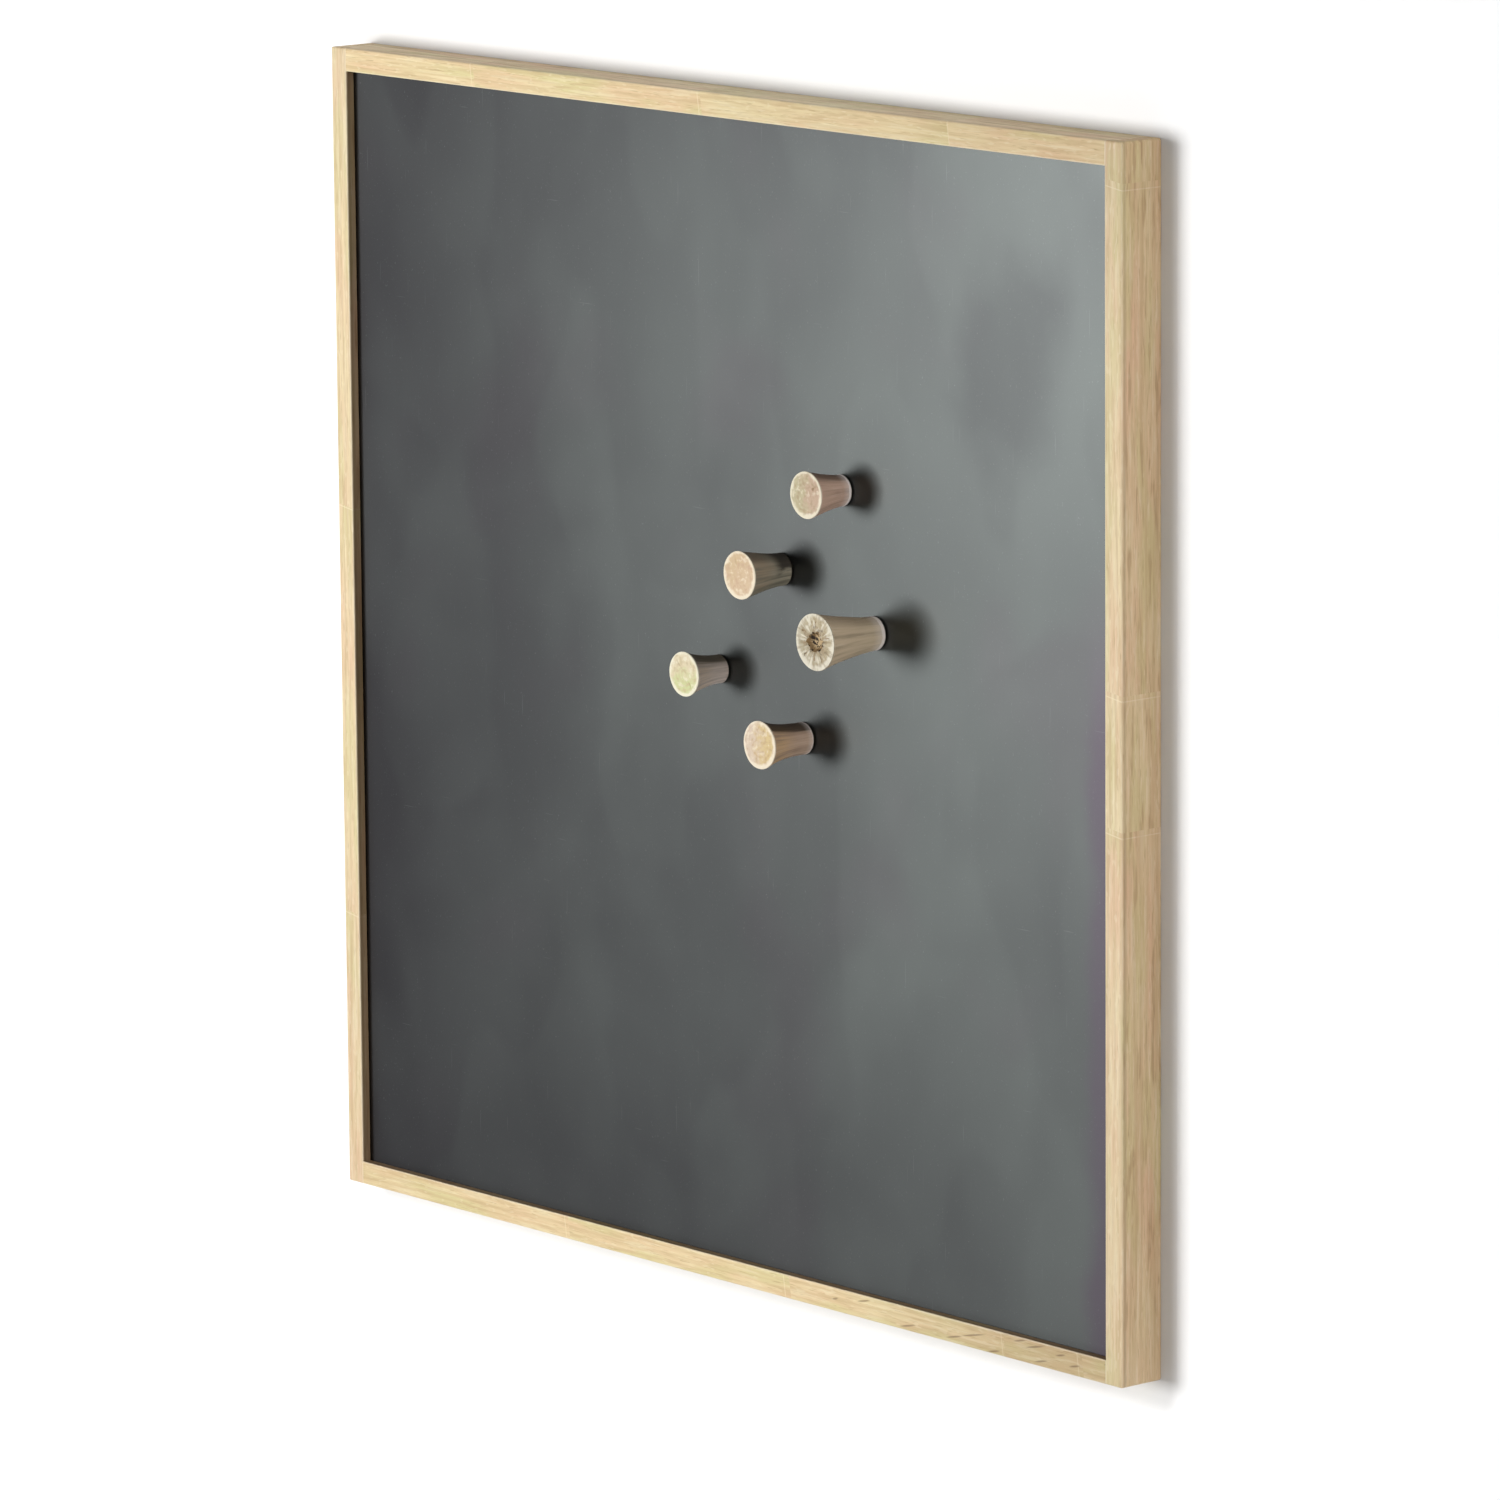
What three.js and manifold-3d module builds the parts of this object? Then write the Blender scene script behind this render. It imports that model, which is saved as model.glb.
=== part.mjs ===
// A square wall board: a raw steel sheet in a deep, narrow-faced oak frame, with five flared wooden peg magnets.
// Millimetres. +X runs to the right, +Y into the wall and +Z up. The wall plane is y = 0, and the origin is
// the middle of the top rail's back face, where the board lies against the wall.

import * as THREE from 'three';
import { mergeVertices } from 'three/addons/utils/BufferGeometryUtils.js';
import Module from 'manifold-3d';

const wasm = await Module();
wasm.setup();

// Driving sizes of the frame

const boardWidth = 600;
const boardHeight = 600;
const frameDepth = 25;
const faceWidth = 12; // front face of each oak member
const lipDepth = 5; // oak in front of the sheet, which lies that far back
const lipLap = 4; // how far the lip reaches over the edge of the sheet
const frontArris = 1; // rounding of the outer front edge
const sightArris = 0.5; // rounding of the edge round the sheet
const cornerRadius = 1.5; // rounding of the frame's four corners in front view

// Sheet, backing and the beads behind them

const sheetThickness = 1;
const sheetCornerRadius = 2;
const backingThickness = 9;
const beadWidth = 8;
const beadRadius = 3; // rounded inner edge of the beads

// Clearances

const seatGap = 0.3; // round and in front of what is let in
const glueLine = 0.1; // between faces that are glued or screwed together
const overrun = 10; // how far a cutter runs past what it cuts

// Corner dowels

const dowelDiameter = 5;
const dowelInRail = 18;
const dowelCover = 2; // oak left outside the end of a dowel
const dowelEndGap = 0.5;
const dowelChamfer = 0.6;
const dowelDepthShares = [0.3, 0.7]; // of the depth behind the lip

// Panel pins through the beads

const pinDiameter = 1.6;
const pinLength = 13;
const pinHeadDiameter = 2.6;
const pinHeadThickness = 0.8;
const pinPointLength = 2;
const pinPlaceShares = [-0.36, 0, 0.36]; // of the length of the member, from its middle

// Keyhole plates that the board hangs by

const plateWidth = 20;
const plateHeight = 52;
const plateThickness = 1.5;
const plateCornerRadius = 4;
const plateFromSide = 110; // from the frame's outer side to the middle of the plate
const plateFromTop = 70;
const keyEntryDiameter = 10;
const keySlotWidth = 5;
const keyTravel = 13; // from the middle of the entry to the top of the slot
const keyPocketDepth = 6; // hollow in the backing for the head of the wall screw
const keyPocketSideMargin = 1.5; // how far the hollow is wider than the entry, on each side
const keyPocketEndMargin = 3;
const screwFromEnd = 6; // from the end of a plate to the middle of its screw

// Countersunk wood screws of the keyhole plates

const screwDiameter = 3;
const screwLength = 9;
const screwHeadDiameter = 6;
const screwHeadDepth = 1.4;
const screwPointLength = 3;
const driveWidth = 0.8;
const driveSpan = 3.2;
const driveDepth = 0.9;

// Peg magnets. Places are shares of the board's width and height from its middle. The flare share is the power
// by which the head dies away into the shank.

const pegs = [
  { name: 'top', acrossShare: 0.156, upShare: 0.1865, length: 23.5, head: 23.8, foot: 16.4, flareShare: 1.5 },
  { name: 'upper', acrossShare: 0.0805, upShare: 0.1125, length: 27.8, head: 24.4, foot: 17, flareShare: 1.5 },
  { name: 'large', acrossShare: 0.196, upShare: 0.0735, length: 39, head: 28.6, foot: 17.4, flareShare: 1.5, pith: 7 },
  { name: 'left', acrossShare: 0.001, upShare: 0.0195, length: 23.8, head: 23, foot: 15, flareShare: 2 },
  { name: 'low', acrossShare: 0.1065, upShare: -0.025, length: 29, head: 24.4, foot: 16.8, flareShare: 2.6 },
];
const pegRim = 1.2; // thickness of the head's edge
const pegHeadChamfer = 0.5;
const pegFootChamfer = 0.9;
const pithDepth = 3.5;
const discDiameter = 9;
const discThickness = 3;
const discChamfer = 0.3;
const discInset = 0.3; // how far the disc lies inside the foot

// Smoothness

const arcSteps = 4;
const holeSegments = 20;
const pegSegments = 36;
const flareSteps = 8;

// Places that follow from the sizes

const front = -frameDepth;
const lipBack = front + lipDepth;
const sheetFront = lipBack + seatGap;
const sheetBack = sheetFront + sheetThickness;
const backingFront = sheetBack + glueLine;
const backingBack = backingFront + backingThickness;
const wallWidth = faceWidth - lipLap; // oak beside the sheet, behind the lip
const top = wallWidth / 2;
const bottom = top - boardHeight;
const middleHeight = (top + bottom) / 2;
const panelWidth = boardWidth - 2 * (wallWidth + seatGap);
const panelHeight = boardHeight - 2 * (wallWidth + seatGap);

// Colours

const materials = {
  oak: { color: 0xe0cca3, roughness: 0.6, metalness: 0 },
  steel: { color: 0x6f7375, roughness: 0.42, metalness: 0.85 },
  plywood: { color: 0xc9ac80, roughness: 0.75, metalness: 0 },
  beech: { color: 0xd3b283, roughness: 0.6, metalness: 0 },
  zinc: { color: 0xb9bcc0, roughness: 0.35, metalness: 0.9 },
  nickel: { color: 0xc6c4be, roughness: 0.25, metalness: 1 },
  top: { color: 0x94705c, roughness: 0.75, metalness: 0 },
  upper: { color: 0x6f6a58, roughness: 0.75, metalness: 0 },
  large: { color: 0xa18c74, roughness: 0.75, metalness: 0 },
  left: { color: 0x8b8078, roughness: 0.75, metalness: 0 },
  low: { color: 0x97735c, roughness: 0.75, metalness: 0 },
};

const board = new THREE.Group();

function addPiece(name, geometry, finish) {
  const faceted = geometry.index ? geometry.toNonIndexed() : geometry;
  faceted.computeVertexNormals();
  const mesh = new THREE.Mesh(faceted, new THREE.MeshStandardMaterial(materials[finish]));
  mesh.name = name;
  board.add(mesh);
  return mesh;
}

// Joining and cutting

function solidOf(geometry) {
  const bare = new THREE.BufferGeometry();
  bare.setAttribute('position', geometry.getAttribute('position'));
  if (geometry.index) bare.setIndex(geometry.index);
  const merged = mergeVertices(bare);
  const corners = merged.index.array;
  const kept = [];
  for (let i = 0; i < corners.length; i += 3) {
    const [a, b, c] = corners.slice(i, i + 3);
    if (a !== b && b !== c && c !== a) kept.push(a, b, c);
  }
  const vertProperties = Float32Array.from(merged.attributes.position.array);
  return new wasm.Manifold(new wasm.Mesh({ numProp: 3, vertProperties, triVerts: Uint32Array.from(kept) }));
}

function geometryOf(solid) {
  const mesh = solid.getMesh();
  const geometry = new THREE.BufferGeometry();
  geometry.setAttribute('position', new THREE.BufferAttribute(Float32Array.from(mesh.vertProperties), 3));
  geometry.setIndex(Array.from(mesh.triVerts));
  return geometry;
}

// Simple shapes

function block([x0, x1], [y0, y1], [z0, z1]) {
  const geometry = new THREE.BoxGeometry(x1 - x0, y1 - y0, z1 - z0);
  return geometry.translate((x0 + x1) / 2, (y0 + y1) / 2, (z0 + z1) / 2);
}

function roundedRectangle(width, height, radius) {
  const shape = new THREE.Shape();
  const x = width / 2;
  const y = height / 2;
  shape.moveTo(x, -y + radius);
  shape.absarc(x - radius, y - radius, radius, 0, Math.PI / 2);
  shape.absarc(-x + radius, y - radius, radius, Math.PI / 2, Math.PI);
  shape.absarc(-x + radius, -y + radius, radius, Math.PI, Math.PI * 1.5);
  shape.absarc(x - radius, -y + radius, radius, Math.PI * 1.5, Math.PI * 2);
  return shape;
}

// A shape drawn in X and Z, as seen from the front, made a slab between two depths
function slab(shape, y0, y1) {
  const geometry = new THREE.ExtrudeGeometry(shape, { depth: y1 - y0, bevelEnabled: false, curveSegments: arcSteps });
  return geometry.rotateX(Math.PI / 2).translate(0, y1, 0);
}

// A profile of [radius, height] points from axis to axis, turned about the Y axis
function turned(profile, segments) {
  const points = profile.map(([radius, height]) => new THREE.Vector2(radius, height));
  return new THREE.LatheGeometry(points, segments);
}

function rod(diameter, from, to) {
  const radius = diameter / 2;
  return turned([[0, from], [radius, from], [radius, to], [0, to]], holeSegments);
}

// Points of a quarter circle that rounds a corner, from one direction to the next
function roundedCorner(u, v, radius, fromAngle) {
  const points = [];
  for (let i = 0; i <= arcSteps; i += 1) {
    const angle = fromAngle + (i / arcSteps) * (Math.PI / 2);
    points.push([u + radius * Math.cos(angle), v + radius * Math.sin(angle)]);
  }
  return points;
}

// Frame and beads: a profile of [inset from the outside, depth] points is carried round a rectangle with mitred
// corners, and the ring is then parted into two uprights and two rails between them.

function ringOf(profile, width, height) {
  const vertices = [];
  for (const [inset, y] of profile) {
    const x = width / 2 - inset;
    const z = height / 2 - inset;
    vertices.push(-x, y, middleHeight + z, x, y, middleHeight + z);
    vertices.push(x, y, middleHeight - z, -x, y, middleHeight - z);
  }
  const faces = [];
  for (let i = 0; i < profile.length; i += 1) {
    const next = (i + 1) % profile.length;
    for (let side = 0; side < 4; side += 1) {
      const turn = (side + 1) % 4;
      const [a, b, c, d] = [i * 4 + side, next * 4 + side, next * 4 + turn, i * 4 + turn];
      faces.push(a, b, c, a, c, d);
    }
  }
  const geometry = new THREE.BufferGeometry();
  geometry.setAttribute('position', new THREE.BufferAttribute(new Float32Array(vertices), 3));
  geometry.setIndex(faces);
  return solidOf(geometry);
}

// The space of one upright, from outside the frame to each step's reach inside its outer side
function uprightSpace(side, steps, allowance) {
  const outer = boardWidth / 2;
  let space = null;
  for (const { reach, from, to } of steps) {
    const inner = outer - reach - allowance;
    const across = side < 0 ? [-outer - overrun, -inner] : [inner, outer + overrun];
    const along = [bottom - overrun, top + overrun];
    const step = solidOf(block(across, [from - allowance, to + allowance], along));
    space = space ? space.add(step) : step;
  }
  return space;
}

function partedRing(ring, steps) {
  const [left, right] = [-1, 1].map((side) => ring.intersect(uprightSpace(side, steps, 0)));
  const rails = [-1, 1].reduce((rest, side) => rest.subtract(uprightSpace(side, steps, glueLine)), ring);
  const across = [-boardWidth, boardWidth];
  const deep = [front - overrun, overrun];
  const upper = rails.intersect(solidOf(block(across, deep, [middleHeight, top + overrun])));
  const lower = rails.intersect(solidOf(block(across, deep, [bottom - overrun, middleHeight])));
  return { left, right, top: upper, bottom: lower };
}

const frameProfile = [
  [0, 0],
  ...roundedCorner(frontArris, front + frontArris, frontArris, Math.PI),
  ...roundedCorner(faceWidth - sightArris, front + sightArris, sightArris, Math.PI * 1.5),
  [faceWidth, lipBack],
  [wallWidth, lipBack],
  [wallWidth, 0],
];
const frameSteps = [
  { reach: faceWidth, from: front - overrun, to: lipBack },
  { reach: wallWidth, from: lipBack, to: overrun },
];
const frameOutline = slab(roundedRectangle(boardWidth, boardHeight, cornerRadius), front - overrun, overrun);
const frameRing = ringOf(frameProfile, boardWidth, boardHeight).intersect(
  solidOf(frameOutline.translate(0, 0, middleHeight)),
);
const members = partedRing(frameRing, frameSteps);

const beadOuter = wallWidth + glueLine;
const beadInner = beadOuter + beadWidth;
const beadFront = backingBack + glueLine;
const beadProfile = [
  [beadOuter, 0],
  [beadOuter, beadFront],
  [beadInner, beadFront],
  ...roundedCorner(beadInner - beadRadius, -beadRadius, beadRadius, 0),
];
const beadSteps = [{ reach: beadInner, from: beadFront - overrun, to: overrun }];
const beads = partedRing(ringOf(beadProfile, boardWidth, boardHeight), beadSteps);

// Dowels: two in each corner, from the stile into the end of the rail

const dowelStart = boardWidth / 2 - dowelCover;
const dowelEnd = boardWidth / 2 - wallWidth - dowelInRail;
const dowelHole = dowelDiameter + 2 * seatGap;

function alongX(geometry, [y, z]) {
  return geometry.rotateZ(-Math.PI / 2).translate(0, y, z);
}

function dowelGeometry(side) {
  const [from, to] = [dowelEnd + dowelEndGap, dowelStart - dowelEndGap];
  const radius = dowelDiameter / 2;
  const profile = [
    [0, from],
    [radius - dowelChamfer, from],
    [radius, from + dowelChamfer],
    [radius, to - dowelChamfer],
    [radius - dowelChamfer, to],
    [0, to],
  ];
  const geometry = turned(profile, holeSegments);
  return side < 0 ? geometry.rotateZ(Math.PI) : geometry;
}

for (const [edge, z] of [['top', top - wallWidth / 2], ['bottom', bottom + wallWidth / 2]]) {
  for (const [sideName, side] of [['left', -1], ['right', 1]]) {
    dowelDepthShares.forEach((share, index) => {
      const seat = [lipBack * (1 - share), z];
      const span = side < 0 ? [-dowelStart, -dowelEnd] : [dowelEnd, dowelStart];
      const hole = solidOf(alongX(rod(dowelHole, ...span), seat));
      members[edge] = members[edge].subtract(hole);
      members[sideName] = members[sideName].subtract(hole);
      const place = index === 0 ? 'front' : 'back';
      addPiece(`dowel_${edge}_${sideName}_${place}`, alongX(dowelGeometry(side), seat), 'beech');
    });
  }
}

// Panel pins: three through each bead into the oak

const pinDepth = beadFront / 2;
const pinHole = pinDiameter + 2 * seatGap;
const pinHeadSeat = pinHeadDiameter + 2 * seatGap;

// A pin along Y with its head's outer face at the origin, pointing towards +Y
function pinGeometry() {
  const radius = pinDiameter / 2;
  const head = pinHeadDiameter / 2;
  const profile = [
    [0, 0],
    [head, 0],
    [head, pinHeadThickness],
    [radius, pinHeadThickness],
    [radius, pinLength - pinPointLength],
    [0, pinLength],
  ];
  return turned(profile, holeSegments / 2);
}

function pinSeatGeometry() {
  const profile = [
    [0, -overrun],
    [pinHeadSeat / 2, -overrun],
    [pinHeadSeat / 2, pinHeadThickness + seatGap],
    [pinHole / 2, pinHeadThickness + seatGap],
    [pinHole / 2, pinLength - pinPointLength + seatGap],
    [0, pinLength + seatGap],
  ];
  return turned(profile, holeSegments / 2);
}

// Turns a piece made along Y so that it points outwards through one side of the frame
function pointedAt(edge, geometry, share) {
  const turns = { top: Math.PI / 2, bottom: -Math.PI / 2, left: Math.PI / 2, right: -Math.PI / 2 };
  if (edge === 'top' || edge === 'bottom') {
    const sign = edge === 'top' ? 1 : -1;
    const z = middleHeight + sign * (boardHeight / 2 - beadInner);
    return geometry.rotateX(turns[edge]).translate(share * boardWidth, pinDepth, z);
  }
  const sign = edge === 'left' ? -1 : 1;
  return geometry.rotateZ(turns[edge]).translate(
    sign * (boardWidth / 2 - beadInner),
    pinDepth,
    middleHeight + share * boardHeight,
  );
}

for (const edge of Object.keys(beads)) {
  pinPlaceShares.forEach((share, index) => {
    const seat = solidOf(pointedAt(edge, pinSeatGeometry(), share));
    beads[edge] = beads[edge].subtract(seat);
    members[edge] = members[edge].subtract(seat);
    addPiece(`pin_${edge}_${index + 1}`, pointedAt(edge, pinGeometry(), share), 'zinc');
  });
}

const memberNames = { left: 'left_stile', right: 'right_stile', top: 'top_rail', bottom: 'bottom_rail' };
for (const [edge, name] of Object.entries(memberNames)) {
  addPiece(name, geometryOf(members[edge]), 'oak');
  addPiece(`bead_${edge}`, geometryOf(beads[edge]), 'beech');
}

// Steel sheet

const sheet = slab(roundedRectangle(panelWidth, panelHeight, sheetCornerRadius), sheetFront, sheetBack);
addPiece('steel_sheet', sheet.translate(0, 0, middleHeight), 'steel');

// Backing board with its keyhole plates and their screws

const plateHeightAt = top - plateFromTop;
const plateFront = backingBack + glueLine;
const plateBack = plateFront + plateThickness;
const keyEntryDrop = keyTravel / 2;
const keyPocketWidth = keyEntryDiameter + 2 * keyPocketSideMargin;
const keyPocketHeight = keyTravel + keyEntryDiameter + 2 * keyPocketEndMargin;
const screwSpacing = plateHeight - 2 * screwFromEnd;

// The keyhole's outline round its own middle: a round entry with a slot above it
function keyhole() {
  const outline = new THREE.Path();
  const entry = keyEntryDiameter / 2;
  const slot = keySlotWidth / 2;
  const meeting = Math.acos(slot / entry);
  outline.absarc(0, -keyEntryDrop, entry, Math.PI - meeting, meeting + Math.PI * 2);
  outline.lineTo(slot, keyEntryDrop - slot);
  outline.absarc(0, keyEntryDrop - slot, slot, 0, Math.PI);
  outline.closePath();
  return outline;
}

// A countersunk form along Y, head towards +Y with its face at the given depth
function countersink(diameter, headDiameter, face, end) {
  const profile = [
    [0, end],
    [diameter / 2, end],
    [diameter / 2, face - screwHeadDepth],
    [headDiameter / 2, face],
    [headDiameter / 2, face + seatGap],
    [0, face + seatGap],
  ];
  return turned(profile, holeSegments);
}

function plateGeometry(x) {
  const shape = roundedRectangle(plateWidth, plateHeight, plateCornerRadius);
  shape.holes.push(keyhole());
  let plate = solidOf(slab(shape, plateFront, plateBack));
  for (const z of [-screwSpacing / 2, screwSpacing / 2]) {
    const hole = countersink(screwDiameter + 2 * seatGap, screwHeadDiameter + 2 * seatGap, plateBack, backingFront);
    plate = plate.subtract(solidOf(hole.translate(0, 0, z)));
  }
  return geometryOf(plate).translate(x, 0, plateHeightAt);
}

function screwGeometry() {
  const radius = screwDiameter / 2;
  const end = plateBack - screwLength;
  const profile = [
    [0, end],
    [radius, end + screwPointLength],
    [radius, plateBack - screwHeadDepth],
    [screwHeadDiameter / 2, plateBack],
    [0, plateBack],
  ];
  let screw = solidOf(turned(profile, holeSegments));
  const deep = [plateBack - driveDepth, plateBack + overrun];
  const narrow = [-driveWidth / 2, driveWidth / 2];
  const wide = [-driveSpan / 2, driveSpan / 2];
  screw = screw.subtract(solidOf(block(narrow, deep, wide)));
  return geometryOf(screw.subtract(solidOf(block(wide, deep, narrow))));
}

let backing = solidOf(
  slab(roundedRectangle(panelWidth, panelHeight, sheetCornerRadius), backingFront, backingBack).translate(
    0,
    0,
    middleHeight,
  ),
);
const pocketShape = roundedRectangle(keyPocketWidth, keyPocketHeight, keyPocketWidth / 3);
for (const [sideName, side] of [['left', -1], ['right', 1]]) {
  const x = side * (boardWidth / 2 - plateFromSide);
  const pocket = slab(pocketShape, backingBack - keyPocketDepth, backingBack + overrun);
  backing = backing.subtract(solidOf(pocket.translate(x, 0, plateHeightAt)));
  addPiece(`hanger_plate_${sideName}`, plateGeometry(x), 'zinc');
  for (const [placeName, sign] of [['upper', 1], ['lower', -1]]) {
    const z = plateHeightAt + (sign * screwSpacing) / 2;
    const holeEnd = plateBack - screwLength - seatGap;
    const pilot = rod(screwDiameter + 2 * seatGap, holeEnd, backingBack + overrun);
    backing = backing.subtract(solidOf(pilot.translate(x, 0, z)));
    addPiece(`hanger_screw_${sideName}_${placeName}`, screwGeometry().translate(x, 0, z), 'zinc');
  }
}
addPiece('backing_board', geometryOf(backing), 'plywood');

// Peg magnets: a wooden peg turned about Y with a disc magnet let into its foot

const footFace = sheetFront - seatGap;

function pegGeometry({ length, head, foot, flareShare, pith = 0 }) {
  const face = footFace - length;
  const [headRadius, footRadius, pithRadius] = [head / 2, foot / 2, pith / 2];
  const profile = pith ? [[0, face + pithDepth], [pithRadius, face + pithDepth], [pithRadius, face]] : [[0, face]];
  profile.push([headRadius - pegHeadChamfer, face]);
  profile.push([headRadius, face + pegHeadChamfer]);
  const flareStart = face + pegRim;
  const flareEnd = footFace - pegFootChamfer;
  for (let i = 0; i <= flareSteps; i += 1) {
    const share = i / flareSteps;
    const radius = footRadius + (headRadius - footRadius) * (1 - share) ** flareShare;
    profile.push([radius, flareStart + share * (flareEnd - flareStart)]);
  }
  const seatRadius = discDiameter / 2 + seatGap;
  const seatDepth = discInset + discThickness + seatGap;
  profile.push([footRadius - pegFootChamfer, footFace]);
  profile.push([seatRadius, footFace]);
  profile.push([seatRadius, footFace - seatDepth]);
  profile.push([0, footFace - seatDepth]);
  return turned(profile, pegSegments);
}

function discGeometry() {
  const radius = discDiameter / 2;
  const back = footFace - discInset;
  const face = back - discThickness;
  const profile = [
    [0, face],
    [radius - discChamfer, face],
    [radius, face + discChamfer],
    [radius, back - discChamfer],
    [radius - discChamfer, back],
    [0, back],
  ];
  return turned(profile, holeSegments);
}

for (const peg of pegs) {
  const x = peg.acrossShare * boardWidth;
  const z = middleHeight + peg.upShare * boardHeight;
  addPiece(`peg_${peg.name}`, pegGeometry(peg).translate(x, 0, z), peg.name);
  addPiece(`disc_${peg.name}`, discGeometry().translate(x, 0, z), 'nickel');
}

export default board;
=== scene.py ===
import math
import bmesh
import bpy
from mathutils import Matrix, Vector, noise


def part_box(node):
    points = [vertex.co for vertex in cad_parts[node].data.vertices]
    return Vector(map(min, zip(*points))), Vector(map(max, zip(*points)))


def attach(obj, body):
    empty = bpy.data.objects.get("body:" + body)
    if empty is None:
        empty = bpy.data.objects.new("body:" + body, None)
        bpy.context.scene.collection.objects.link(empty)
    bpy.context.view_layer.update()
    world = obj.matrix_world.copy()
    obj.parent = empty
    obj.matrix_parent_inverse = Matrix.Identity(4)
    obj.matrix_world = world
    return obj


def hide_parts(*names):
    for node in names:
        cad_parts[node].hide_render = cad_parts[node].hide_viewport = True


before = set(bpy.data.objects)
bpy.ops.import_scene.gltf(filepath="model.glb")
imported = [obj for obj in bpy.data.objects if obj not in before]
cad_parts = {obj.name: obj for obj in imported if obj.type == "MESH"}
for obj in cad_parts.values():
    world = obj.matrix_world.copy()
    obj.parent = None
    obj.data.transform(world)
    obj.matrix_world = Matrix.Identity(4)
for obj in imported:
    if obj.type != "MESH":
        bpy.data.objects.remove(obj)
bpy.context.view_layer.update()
print("frame loaded:", len(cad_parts), "nodes")

mm = 0.001
mergeDistance = 0.002 * mm  # vertices that are closer than this become one
board = {
    "left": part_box("left_stile")[0].x,
    "right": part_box("right_stile")[1].x,
    "top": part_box("top_rail")[1].z,
    "bottom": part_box("bottom_rail")[0].z,
    "front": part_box("top_rail")[0].y,
}
board["middle"] = (board["top"] + board["bottom"]) / 2
board["half"] = (board["right"] - board["left"]) / 2


def seen(red, green, blue):
    # a colour as it looks on screen, 0 to 255, made linear
    parts = []
    for value in (red / 255, green / 255, blue / 255):
        parts.append(value / 12.92 if value <= 0.04045 else ((value + 0.055) / 1.055) ** 2.4)
    return (*parts, 1.0)


# Shader sums

class Wire:
    # the output of a node, which can stand in a sum
    def __init__(self, finish, socket):
        self.finish = finish
        self.socket = socket

    def out(self, name):
        return Wire(self.finish, self.socket.node.outputs[name])

    def math(self, operation, *values, clamp=False):
        settings = {"operation": operation, "use_clamp": clamp}
        return self.finish.node("Math", settings, dict(enumerate((self, *values))))

    def __add__(self, other):
        return self.math("ADD", other)

    def __radd__(self, other):
        return self.math("ADD", other)

    def __sub__(self, other):
        return self.math("SUBTRACT", other)

    def __rsub__(self, other):
        return self.finish.node("Math", {"operation": "SUBTRACT"}, {0: other, 1: self})

    def __mul__(self, other):
        return self.math("MULTIPLY", other)

    def __truediv__(self, other):
        return self.math("DIVIDE", other)

    def __pow__(self, other):
        return self.math("POWER", other)

    def __abs__(self):
        return self.math("ABSOLUTE")

    def clamped(self):
        return self.math("ADD", 0.0, clamp=True)

    def rise(self, low, high, share=1.0):
        # 0 below low, the share above high and smooth between them
        values = {"Value": self, "From Min": low, "From Max": high}
        risen = self.finish.node("MapRange", {"interpolation_type": "SMOOTHSTEP"}, values)
        return risen if share == 1.0 else risen * share

    def fall(self, low, high, share=1.0):
        # the share below low, and 0 above high
        fallen = 1 - self.rise(low, high)
        return fallen if share == 1.0 else fallen * share


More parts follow.
